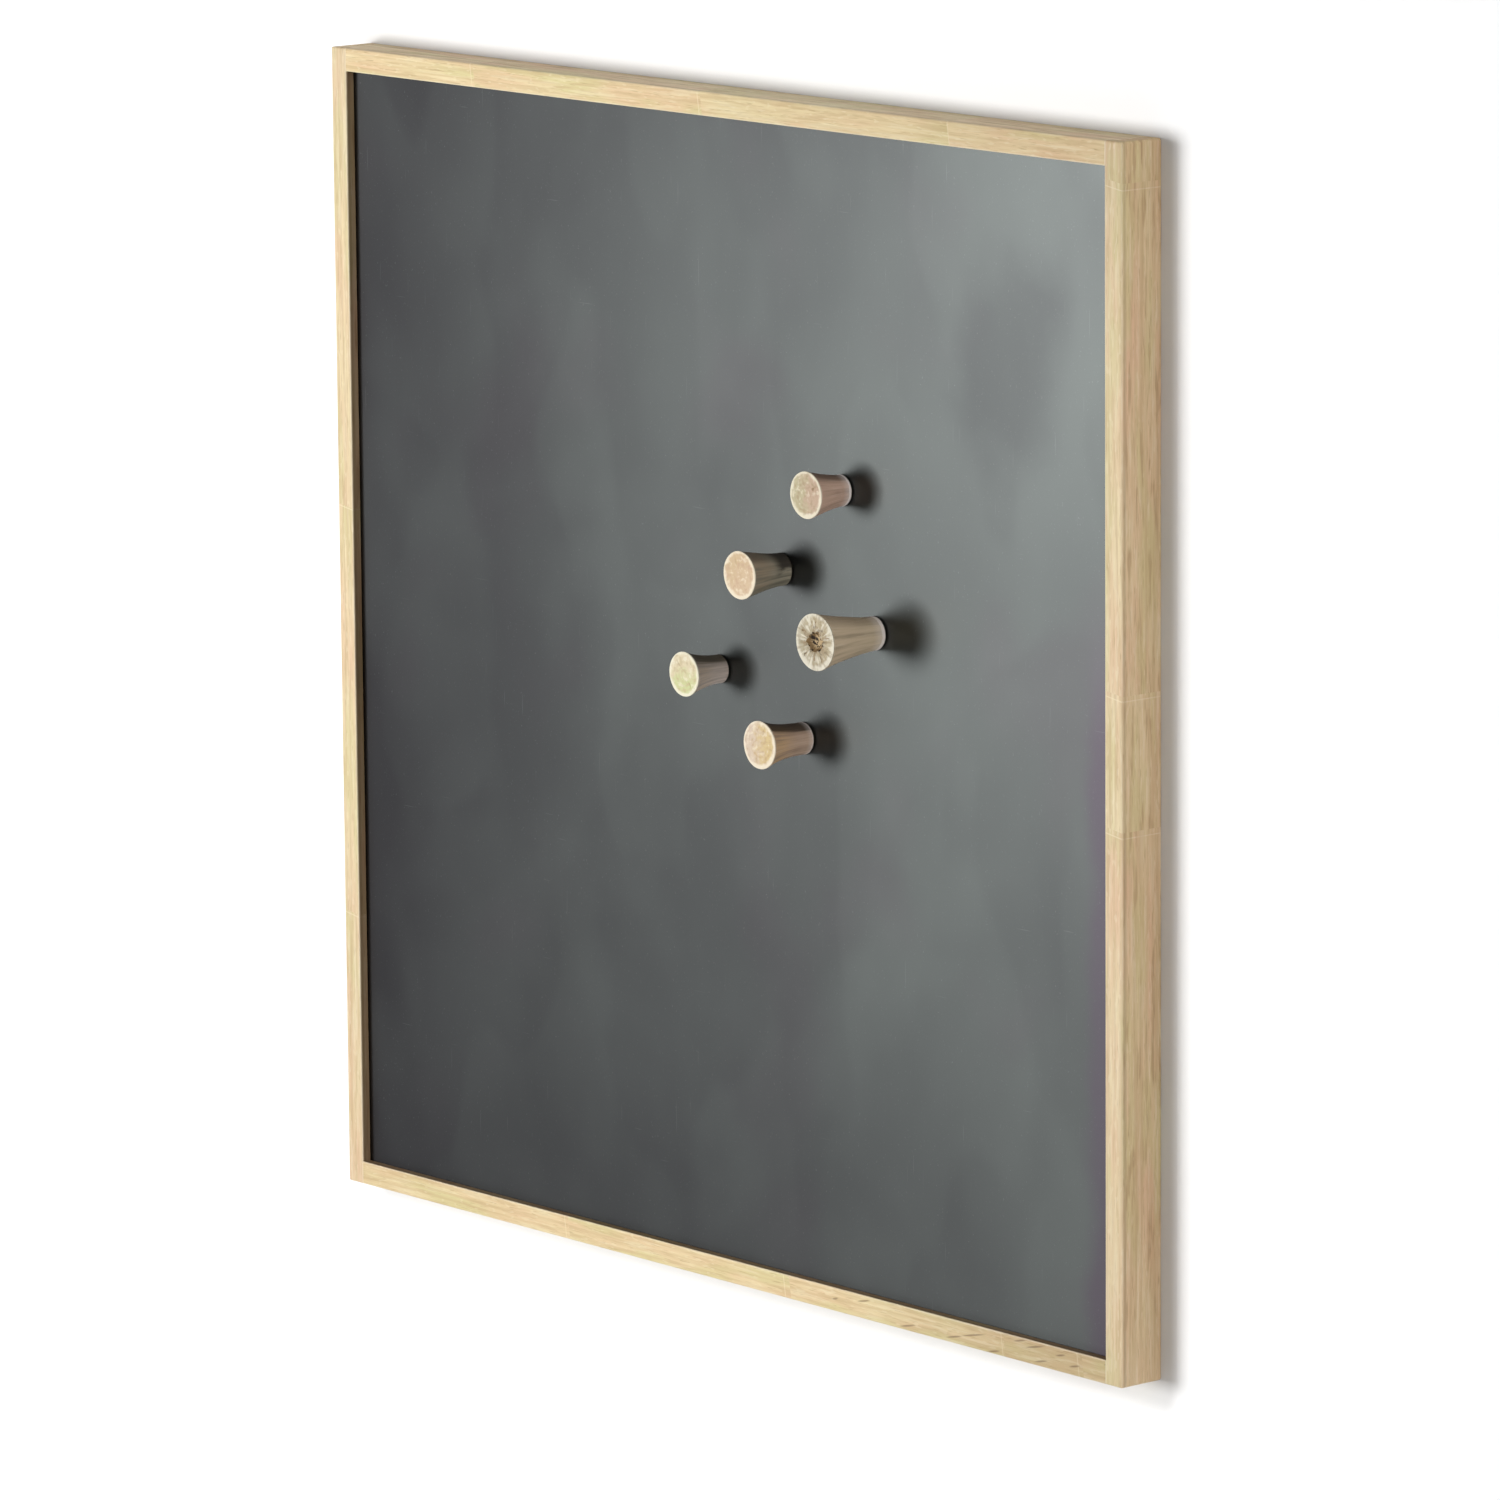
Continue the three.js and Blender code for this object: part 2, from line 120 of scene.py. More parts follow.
class Finish:
    # one material, or the world, with a short way to add a node
    def __init__(self, name, holder=None):
        self.material = holder or bpy.data.materials.new(name)
        self.material.use_nodes = True
        self.tree = self.material.node_tree
        self.tree.nodes.clear()

    def node(self, kind, settings=None, inputs=None, output=0):
        made = self.tree.nodes.new("ShaderNode" + kind)
        for key, value in (settings or {}).items():
            if key == "stops":
                self.setStops(made.color_ramp, value)
            elif key == "ramp":
                made.color_ramp.interpolation = value
            else:
                setattr(made, key, value)
        for key, value in (inputs or {}).items():
            if isinstance(value, Wire):
                self.tree.links.new(value.socket, made.inputs[key])
            elif value is not None:
                made.inputs[key].default_value = value
        return Wire(self, made.outputs[output]) if len(made.outputs) else None

    def setStops(self, ramp, stops):
        while len(ramp.elements) < len(stops):
            ramp.elements.new(1.0)
        for element, (place, colour) in zip(ramp.elements, stops):
            element.position = place
            element.color = colour if isinstance(colour, tuple) else (colour, colour, colour, 1.0)

    def mix(self, share, first, second, way="MIX"):
        settings = {"data_type": "RGBA", "blend_type": way}
        return self.node("Mix", settings, {0: share, 6: first, 7: second}, 2)

    def point(self):
        return self.node("TexCoord").out("Object")

    def scaled(self, point, x, y, z):
        return self.node("VectorMath", {"operation": "MULTIPLY"}, {0: point, 1: (x, y, z)})

    def moved(self, point, x, y, z):
        return self.node("VectorMath", {"operation": "ADD"}, {0: point, 1: (x, y, z)})

    def joined(self, x, y, z):
        return self.node("CombineXYZ", None, {0: x, 1: y, 2: z})

    def parts(self, point):
        split = self.node("SeparateXYZ", None, {0: point})
        return split.out("X"), split.out("Y"), split.out("Z")

    def speckle(self, point, scale, detail=3.0, rough=0.55, bend=0.0):
        values = {"Vector": point, "Scale": scale, "Detail": detail, "Roughness": rough, "Distortion": bend}
        return self.node("TexNoise", None, values)

    def grain(self, point, x, y, z, detail=3.0, rough=0.55, bend=0.0, shift=None):
        # noise of about so many waves in a metre along each axis
        place = self.scaled(point, x, y, z)
        if shift:
            place = self.moved(place, *shift)
        return self.speckle(place, 1.0, detail, rough, bend)

    def grains(self, point, settings):
        return {name: self.grain(point, *values) for name, values in settings.items()}

    def bump(self, height, strength, depth):
        return self.node("Bump", None, {"Height": height, "Strength": strength, "Distance": depth})

    def surface(self, **values):
        names = {
            "colour": "Base Color", "rough": "Roughness", "metal": "Metallic", "normal": "Normal",
            "coat": "Coat Weight", "coatRough": "Coat Roughness", "shine": "Specular IOR Level",
        }
        inputs = {names[key]: value for key, value in values.items()}
        return self.node("BsdfPrincipled", None, inputs)

    def done(self, shader):
        self.node("OutputMaterial", None, {"Surface": shader})
        return self.material


# Oak of the frame

oakLook = {
    "pale": seen(232, 213, 171),
    "pink": seen(229, 196, 160),
    "green": seen(219, 206, 155),
    "late": seen(199, 169, 126),
    "pore": seen(160, 128, 90),
    "ray": seen(243, 229, 198),
    "glue": seen(243, 228, 196),
    "mark": seen(140, 112, 80),
    "light": seen(252, 243, 220),
    "shade": seen(150, 134, 100),
    "sideToneAndShade": (0.83, 0.78, 0.76, 1.0),
    "topTint": (0.97, 0.98, 1.0, 1.0),
    "railTint": (0.99, 0.99, 0.91, 1.0),
    "endTint": (0.86, 0.80, 0.74, 1.0),
    "innerShadeTint": (0.48, 0.44, 0.40, 1.0),
    "dimTint": (0.75, 0.74, 0.72, 1.0),
    "faceWidth": 12 * mm,
    "ringWidth": 2.6 * mm,
    "ringSlope": (0.62, 0.78),  # how steeply the rings cross the width and the depth
    "ringShift": 0.02,
    "ringBend": 3.4,
    "jointWidth": 0.5 * mm,
    "jointSlant": 0.15,
    "markWidth": 0.6 * mm,
    "markSlant": 0.22,
    "arrisWidth": 0.9 * mm,
    "rough": 0.52,
    "relief": 0.06 * mm,
    "grain": {  # waves in a metre along, across and in depth, then detail, roughness, bend and shift
        "bend": (3.2, 30.0, 30.0, 2.0),
        "fibres": (14.0, 900.0, 900.0, 4.0, 0.6),
        "broad": (5.0, 160.0, 160.0),
        "blush": (17.0, 90.0, 90.0, 2.0),
        "moss": (13.0, 80.0, 80.0, 2.0, 0.55, 0.0, (5.0, 2.0, 0.0)),
        "strokes": (34.0, 420.0, 420.0, 2.0),
        "pores": (120.0, 2600.0, 2600.0, 1.0, 0.4),
        "rays": (190.0, 700.0, 1500.0, 0.0),
        "streaks": (7.0, 260.0, 260.0, 3.0, 0.6),
    },
    "show": {  # where in its noise each starts and is full, and its share of the colour
        "tone": (0.5, 0.9, 0.45),
        "moss": (0.48, 0.64, 0.8),
        "strokes": (0.52, 0.68, 0.45),
        "gaps": (0.34, 0.46, 0.4),
        "fibres": (0.42, 0.72, 0.3),
        "streaks": (0.46, 0.66),
        "sawn": (0.56, 0.68),
    },
    "share": {
        "blush": 3.0, "late": 0.42, "pores": 0.38, "rays": 0.3, "glue": 0.6, "marks": 0.75,
        "streaks": 0.4, "sawn": 0.25, "corner": 0.25, "cornerStreaks": 0.3, "outerArris": 0.5,
        "arrisHighlight": 0.25, "arrisHighlightFibres": 0.4,
    },
    "staveShift": (7.3, 0.31, 0.17),  # each stave's own piece of the pattern: along, across and in depth
    "rampMargin": 0.3,
    "staves": {  # where the staves of each member meet, and how pink each stave is
        "left_stile": ([-0.452, -0.236], [0.5, 0.4, 0.15]),
        "right_stile": ([-0.327, -0.261, -0.018], [0.45, 0.2, 0.4, 0.75]),
        "top_rail": ([-0.185, -0.0068, 0.178], [0.3, 0.5, 0.1, 0.55]),
        "bottom_rail": ([-0.12, 0.052, 0.2139, 0.2685], [0.5, 0.3, 0.4, 0.8, 0.65]),
    },
    "dim": {  # how far each member is dimmed along its length
        "left_stile": [(-0.6, 0.42), (-0.5, 0.42), (-0.38, 0.15), (-0.1, 0.0), (-0.06, 0.1), (0.0, 0.3)],
        "right_stile": [
            (-0.6, 0.45), (-0.5, 0.25), (-0.36, 0.1), (-0.2, 0.0), (-0.1, 0.1), (-0.06, 0.25), (-0.02, 0.6),
        ],
        "top_rail": [(-0.3, 0.0), (-0.02, 0.0), (0.02, 0.25), (0.14, 0.35), (0.18, 0.55), (0.3, 0.65)],
        "bottom_rail": [
            (-0.3, 0.4), (-0.2, 0.25), (0.0, 0.05), (0.1, 0.05), (0.16, 0.5), (0.21, 0.85), (0.26, 1.0),
        ],
    },
    "marks": {  # small dark grain marks: along, height, half length
        "bottom_rail": [
            (0.2377, -0.5868, 0.0070), (0.2897, -0.5859, 0.0030), (0.0905, -0.5895, 0.0024),
            (0.1930, -0.5892, 0.0090), (0.2270, -0.5856, 0.0050), (0.2560, -0.5876, 0.0036),
            (0.1790, -0.5926, 0.0060), (0.2660, -0.5912, 0.0040), (0.2420, -0.5932, 0.0050),
            (0.2080, -0.5945, 0.0050), (0.1450, -0.5933, 0.0060), (0.1120, -0.5868, 0.0050),
        ],
    },
}


def oakFinish(member, upright):
    look, show, share = oakLook, oakLook["show"], oakLook["share"]
    f = Finish("oak_" + member)
    x, depth, height = f.parts(f.point())
    along, across = (height, x) if upright else (x, height)
    joints, tones = look["staves"][member]
    reach = board["half"] + look["rampMargin"]
    middle = board["middle"] if upright else 0.0

    def onRamp(place):
        return (place - middle + reach) / (2 * reach)

    # each stave has its own tone and its own piece of the pattern, and the joints between them slant
    toneStops = [(0.0, tones[0])] + [(onRamp(joint), tone) for joint, tone in zip(joints, tones[1:])]
    dimStops = [(onRamp(place), dim) for place, dim in look["dim"][member]]
    low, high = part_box(member)
    halfway = (low.x + high.x if upright else low.z + high.z) / 2
    slanted = along + (across - halfway) * look["jointSlant"]
    ramped = onRamp(slanted)
    stave = f.node("ValToRGB", {"ramp": "CONSTANT", "stops": toneStops}, {0: ramped})
    stave = f.node("SeparateColor", None, {0: stave})
    dim = f.node("ValToRGB", {"ramp": "LINEAR", "stops": dimStops}, {0: ramped})
    dim = f.node("SeparateColor", None, {0: dim})

    shifts = look["staveShift"]
    wood = f.joined(along + stave * shifts[0], across + stave * shifts[1], depth + stave * shifts[2])
    grain = f.grains(wood, look["grain"])
    fibres, strokes, streaks = grain["fibres"], grain["strokes"], grain["streaks"]
    acrossSlope, depthSlope = look["ringSlope"]
    ringPlace = (across * acrossSlope + depth * depthSlope + stave * look["ringShift"]) / look["ringWidth"]
    ring = (ringPlace + grain["bend"] * look["ringBend"]).math("FRACT")
    lateWood = ring.rise(0.35, 0.95) * ring.fall(0.96, 1.0)
    pores = grain["pores"].rise(0.60, 0.70) * (1 - lateWood * 0.75)
    rays = grain["rays"].rise(0.66, 0.76)

    blush = stave + (grain["blush"] - 0.5) * share["blush"]
    colour = f.mix(blush.clamped(), look["pale"], look["pink"])
    colour = f.mix(stave.rise(*show["tone"]), colour, look["late"])
    colour = f.mix(grain["moss"].rise(*show["moss"]), colour, look["green"])
    colour = f.mix(strokes.rise(*show["strokes"]), colour, look["late"])
    colour = f.mix(strokes.fall(*show["gaps"]), colour, look["ray"])
    colour = f.mix(lateWood * share["late"] * grain["broad"].rise(0.35, 0.65), colour, look["late"])
    colour = f.mix(fibres.rise(*show["fibres"]), colour, look["late"])
    colour = f.mix(pores * share["pores"], colour, look["pore"])
    colour = f.mix(rays * share["rays"], colour, look["ray"])

    for joint in joints:
        line = abs(slanted - joint).fall(0.0, look["jointWidth"])
        colour = f.mix(line * share["glue"], colour, look["glue"])
    for markAlong, markHeight, markLength in look["marks"].get(member, []):
        lean = (along - markAlong) * look["markSlant"]
        flat = ((along - markAlong) / markLength) ** 2
        flat = flat + ((across - markHeight - lean) / look["markWidth"]) ** 2
        colour = f.mix(flat.fall(0.0, 1.3, share["marks"]), colour, look["mark"])

    # the sawn edges of the stock are browner than its face, partly their own tone and partly painted shade,
    # and the ends of the stiles darker still
    inward = depth - board["front"]
    edge = inward.rise(0.1 * mm, 0.9 * mm)
    level = abs(height - board["middle"]).rise(board["half"] - 0.7 * mm, board["half"] - 0.1 * mm) * edge
    colour = f.mix(streaks.rise(*show["streaks"]) * edge * share["streaks"], colour, look["late"])
    colour = f.mix(strokes.rise(*show["sawn"]) * edge * share["sawn"], colour, look["pore"])
    # a band just behind the front arris on the edges is painted shade
    corner = inward.rise(0.7 * mm, 1.3 * mm) * inward.fall(1.5 * mm, 3.2 * mm)
    colour = f.mix(corner * (share["corner"] + streaks * share["cornerStreaks"]), colour, look["shade"])
    colour = f.mix(dim * (1 - edge), colour, look["dimTint"], "MULTIPLY")
    if not upright:
        colour = f.mix(1 - edge, colour, look["railTint"], "MULTIPLY")
    colour = f.mix(edge * (1 - level), colour, look["sideToneAndShade"], "MULTIPLY")
    colour = f.mix(level, colour, look["endTint"] if upright else look["topTint"], "MULTIPLY")

    # the walls round the sheet are painted dark as shade, and the long edges are painted lighter as a
    # highlight
    spread = abs(x) if upright else abs(height - board["middle"])
    pastSight = spread - (board["half"] - look["faceWidth"])
    within = pastSight.fall(0.02 * mm, 0.3 * mm)
    colour = f.mix(within * inward.rise(0.2 * mm, 1.2 * mm), colour, look["innerShadeTint"], "MULTIPLY")
    sight = abs(pastSight).fall(0.0, look["arrisWidth"])
    outer = abs(spread - board["half"]).fall(0.0, look["arrisWidth"])
    facing = inward.fall(0.0, look["arrisWidth"])
    arrisHighlight = (sight * facing + outer * facing * share["outerArris"]).clamped()
    colour = f.mix(arrisHighlight * (share["arrisHighlight"] + fibres * share["arrisHighlightFibres"]), colour, look["light"])

    rough = look["rough"] + fibres * 0.16 - arrisHighlight * 0.08 + pores * 0.2
    relief = fibres * 0.4 - pores * 0.9 + lateWood * 0.15
    normal = f.bump(relief, 0.5, look["relief"])
    return f.done(f.surface(colour=colour, rough=rough, normal=normal, shine=0.4))


# Plain close-grained wood: beech of the beads and dowels

beechLook = {
    "pale": seen(222, 190, 146),
    "deep": seen(198, 160, 116),
    "fleck": seen(158, 118, 80),
    "rough": 0.6,
    "relief": 0.05 * mm,
    "grain": {
        "fibres": (10.0, 800.0, 800.0, 4.0),
        "cloud": (6.0, 60.0, 60.0, 2.0),
        "flecks": (420.0, 2400.0, 1800.0, 0.0),
    },
}


def beechFinish(name, alongAxis):
    look = beechLook
    f = Finish(name)
    x, y, z = f.parts(f.point())
    wood = f.joined(z, x, y) if alongAxis == "z" else f.joined(x, z, y)
    grain = f.grains(wood, look["grain"])
    fibres = grain["fibres"]
    flecks = grain["flecks"].rise(0.62, 0.72)
    colour = f.mix(grain["cloud"].rise(0.3, 0.7, 0.6), look["pale"], look["deep"])
    colour = f.mix(fibres.rise(0.4, 0.7, 0.5), colour, look["deep"])
    colour = f.mix(flecks * 0.55, colour, look["fleck"])
    normal = f.bump(fibres - flecks * 0.5, 0.4, look["relief"])
    return f.done(f.surface(colour=colour, rough=look["rough"] + fibres * 0.15, normal=normal, shine=0.35))


# Birch plywood of the backing board

plywoodLook = {
    "pale": seen(224, 198, 158),
    "deep": seen(196, 162, 118),
    "line": seen(170, 132, 90),
    "knot": seen(140, 98, 62),
    "plyLight": seen(222, 190, 146),
    "plyDark": seen(168, 128, 88),
    "plies": 7,
    "rough": 0.68,
    "relief": 0.06 * mm,
    "figures": 26.0,  # how often the figure repeats over the warp and over the width
    "acrossFigures": 14.0,
    "grain": {
        "warp": (5.0, 5.0, 1.6),
        "fibres": (900.0, 900.0, 22.0, 4.0),
        "cloud": (9.0, 9.0, 3.0, 2.0),
        "dashes": (1400.0, 1400.0, 130.0, 0.0),
    },
}


def plywoodFinish():
    look = plywoodLook
    f = Finish("plywood")
    low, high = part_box("backing_board")
    point = f.point()
    x, y, z = f.parts(point)
    grain = f.grains(point, look["grain"])
    fibres = grain["fibres"]
    figure = (grain["warp"] * look["figures"] + x * look["acrossFigures"]).math("FRACT")
    ring = figure.rise(0.0, 0.6) * figure.fall(0.72, 1.0)
    colour = f.mix(grain["cloud"].rise(0.3, 0.7), look["pale"], look["deep"])
    colour = f.mix(ring * 0.35, colour, look["line"])
    colour = f.mix(fibres.rise(0.45, 0.75, 0.4), colour, look["line"])
    colour = f.mix(grain["dashes"].rise(0.68, 0.75, 0.5), colour, look["knot"])

    # the cut edges show the plies
    step = (y - low.y) / (high.y - low.y) * look["plies"]
    odd = (step.math("FLOOR") * 0.5).math("FRACT").rise(0.2, 0.3)
    plies = f.mix(odd, look["plyLight"], look["plyDark"])
    plies = f.mix(fibres * 0.4, plies, look["line"])
    inside = (y - low.y).rise(0.1 * mm, 0.3 * mm) * (y - high.y).fall(-0.3 * mm, -0.1 * mm)
    colour = f.mix(inside, colour, plies)
    normal = f.bump(fibres + ring * 0.3, 0.4, look["relief"])
    return f.done(f.surface(colour=colour, rough=look["rough"] + fibres * 0.15, normal=normal, shine=0.3))


# Raw steel sheet

steelLook = {
    "dark": seen(51, 51, 53),
    "light": seen(81.5, 85.5, 84),
    "warmTint": (1.0, 0.95, 0.98, 1.0),
    "marginBrown": seen(72, 67, 74),
    "scratch": seen(160, 163, 163),
    "level": 0.58,  # of the middle of the sheet, from dark to light
    "paintedSheenRight": 1.08,
    "paintedSheenUp": 0.20,
    "cloudShare": 0.22,
    "scaleShare": 0.09,
    "paintedSheenFalloff": 0.20,
    "patch": {"x": 0.213, "z": -0.110, "wide": 0.037, "high": 0.052, "share": 0.38, "ragged": 0.9},
    "edgeBand": {"from": 0.264, "to": 0.280, "below": -0.30, "fade": 0.09, "share": 0.9},
    "scratchShare": 0.12,
    "metal": 0.97,
    "rough": 0.39,
    "coat": 0.2,
    "coatRough": 0.14,
    "relief": 0.02 * mm,
    "grain": {  # waves in a metre along X, Y and Z, then detail, roughness, bend and shift
        "clouds": (7.5, 1.0, 6.5, 3.0, 0.5, 0.3),
        "mottle": (26.0, 1.0, 24.0, 3.0, 0.55, 0.0, (4.0, 0.0, 2.0)),
        "smears": (60.0, 1.0, 12.0, 3.0, 0.6, 0.6),
        "scale": (11.0, 1.0, 6.0, 2.0, 0.4, 0.0, (7.0, 0.0, 3.0)),
        "warm": (9.0, 1.0, 8.0, 2.0, 0.55, 0.0, (3.1, 0.0, 1.7)),
        "brushed": (1900.0, 1.0, 40.0, 3.0),
        "grit": (900.0, 900.0, 900.0, 2.0),
        "fine": (1500.0, 1.0, 30.0, 1.0),
        "crossed": (34.0, 1.0, 1300.0, 1.0),
    },
}


def steelFinish():
    look = steelLook
    f = Finish("raw_steel")
    point = f.point()
    x, y, z = f.parts(point)
    height = z - board["middle"]
    grain = f.grains(point, look["grain"])
    clouds, mottle, grit = grain["clouds"], grain["mottle"], grain["grit"]
    scale = grain["scale"].rise(0.46, 0.52) - 0.5
    cloudy = (clouds * 0.80 + mottle * 0.15 + grain["smears"] * 0.05).rise(0.34, 0.66) - 0.5
    # painted sheen: the colour is lighter to the right and upwards and darker towards the rim, where the
    # lamp's sheen falls off
    paintedSheen = x * look["paintedSheenRight"] + height * look["paintedSheenUp"]
    reach = abs(x).math("MAXIMUM", abs(height)) + (mottle - 0.5) * 0.08
    paintedSheen = paintedSheen - reach.rise(0.14, 0.29) * look["paintedSheenFalloff"]
    blend = cloudy * look["cloudShare"] + scale * look["scaleShare"] + paintedSheen + look["level"]
    colour = f.mix(blend.clamped(), look["dark"], look["light"])

    # a darker stain at the upper right, and a browned margin down the lower right
    patch = look["patch"]
    off = abs((x - patch["x"]) / patch["wide"]) ** 3 + abs((z - patch["z"]) / patch["high"]) ** 3
    off = off ** 0.33 + (mottle - 0.5) * patch["ragged"] + (clouds - 0.5) * patch["ragged"]
    colour = f.mix(off.fall(0.55, 1.35, patch["share"]), colour, look["dark"])
    edgeBand = look["edgeBand"]
    margin = (x + (mottle - 0.5) * 0.02).rise(edgeBand["from"], edgeBand["to"])
    margin = margin * z.fall(edgeBand["below"], edgeBand["below"] + edgeBand["fade"])
    colour = f.mix(margin * edgeBand["share"], colour, look["marginBrown"])
    colour = f.mix(grain["warm"].rise(0.52, 0.72), colour, look["warmTint"], "MULTIPLY")

    # grit and a few fine scratches
    scratches = grain["fine"].rise(0.74, 0.8) + grain["crossed"].rise(0.76, 0.82)
    colour = f.mix(grit.rise(0.64, 0.8, look["scratchShare"]), colour, look["scratch"])
    colour = f.mix(scratches * look["scratchShare"], colour, look["scratch"])
    rough = look["rough"] + (mottle - 0.5) * 0.03 + (clouds - 0.5) * 0.05
    normal = f.bump(grain["brushed"] * 0.5 + grit * 0.5, 0.10, look["relief"])
    return f.done(f.surface(
        colour=colour, rough=rough, metal=look["metal"], normal=normal,
        coat=look["coat"], coatRough=look["coatRough"],
    ))


# Small metal parts

metalLook = {  # pale and deep colour, roughness, and the size of the crystals
    "zinc_plated": (seen(214, 217, 221), seen(168, 172, 178), 0.27, 1.6 * mm),
    "bright_wire": (seen(205, 206, 207), seen(150, 151, 152), 0.24, 0.8 * mm),
    "nickel_plated": (seen(226, 222, 212), seen(190, 186, 176), 0.16, 2.4 * mm),
}


def metalFinish(name):
    pale, deep, rough, crystal = metalLook[name]
    f = Finish(name)
    point = f.point()
    mottled = f.node("TexVoronoi", None, {"Vector": point, "Scale": 1 / crystal}).out("Color")
    mottled = f.node("SeparateColor", None, {0: mottled})
    cloud = f.speckle(point, 120.0)
    fine = f.grain(point, 900.0, 900.0, 5200.0, 2.0)
    colour = f.mix((mottled * 0.35 + cloud * 0.5).clamped(), pale, deep)
    colour = f.mix(fine.rise(0.66, 0.76, 0.4), colour, deep)
    roughness = rough + cloud * 0.14 + mottled * 0.05
    normal = f.bump(fine + mottled * 0.2, 0.15, 0.02 * mm)
    return f.done(f.surface(colour=colour, rough=roughness, metal=1.0, normal=normal))


zinc, bright, nickel = [metalFinish(name) for name in metalLook]
beechUp = beechFinish("beech_upright", "z")
beechLevel = beechFinish("beech_level", "x")
finishes = {  # by the start of a piece's name, and the first that fits counts
    "bead_left": beechUp,
    "bead_right": beechUp,
    "bead_": beechLevel,
    "dowel_": beechLevel,
    "pin_": bright,
    "hanger_": zinc,
    "disc_": nickel,
    "steel_sheet": steelFinish(),
    "backing_board": plywoodFinish(),
    "left_stile": oakFinish("left_stile", True),
    "right_stile": oakFinish("right_stile", True),
    "top_rail": oakFinish("top_rail", False),
    "bottom_rail": oakFinish("bottom_rail", False),
}
for name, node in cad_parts.items():
    fitting = [finish for start, finish in finishes.items() if name.startswith(start)]
    if fitting:
        node.data.materials[0] = fitting[0]
print("finishes made for the frame, sheet and back")


# Peg magnets: sawn lengths of branch

pegLook = {
    "segments": 144,
    "sideRings": 46,
    "headRings": 22,
    "rim": 1.2 * mm,
    "headEdge": 0.5 * mm,
    "headEdgeSteps": 4,
    "footEdge": 0.9 * mm,
    "footEdgeSteps": 3,
    "discSeat": 4.8 * mm,
    "seatDepth": 3.6 * mm,
    "hub": 0.01 * mm,  # nearer to the axis than this a point has no direction
    "slack": 0.1 * mm,  # what a depth or a radius may be off when faces are told apart
    "wobble": 0.3 * mm,
    "fibreDepth": 0.16 * mm,
    "lumpDepth": 0.4 * mm,
    "flutes": (9, 40),  # size of the noise round the peg and along it
    "fibres": (24, 60),
    "lumps": (1.3, 70),
    "headEase": 2.0 * mm,  # the bark's relief dies away over these at the head and at the foot
    "footEase": 1.5 * mm,
    "checkDepth": 0.5 * mm,
    "checkWidth": 0.45 * mm,
    "checkMiddle": 0.62,  # shares of the head's radius
    "checkReach": 0.3,
    "checkWander": 0.12,
    "sawMarks": 0.07 * mm,
    "sawMarkNoise": 500,
    "hollowDepth": 2.8 * mm,
    "hollowShape": (  # shares of the pith's radius and of the depth
        (0.2, 0.98), (0.4, 0.9), (0.55, 0.78), (0.7, 0.58), (0.8, 0.42), (0.9, 0.24), (0.96, 0.1),
    ),
    "hollowReach": 3.2,  # in radii of the pith
    "hollowFade": 2.2,
    "hollowLip": 0.5 * mm,
    "patternCircle": 0.012,
}
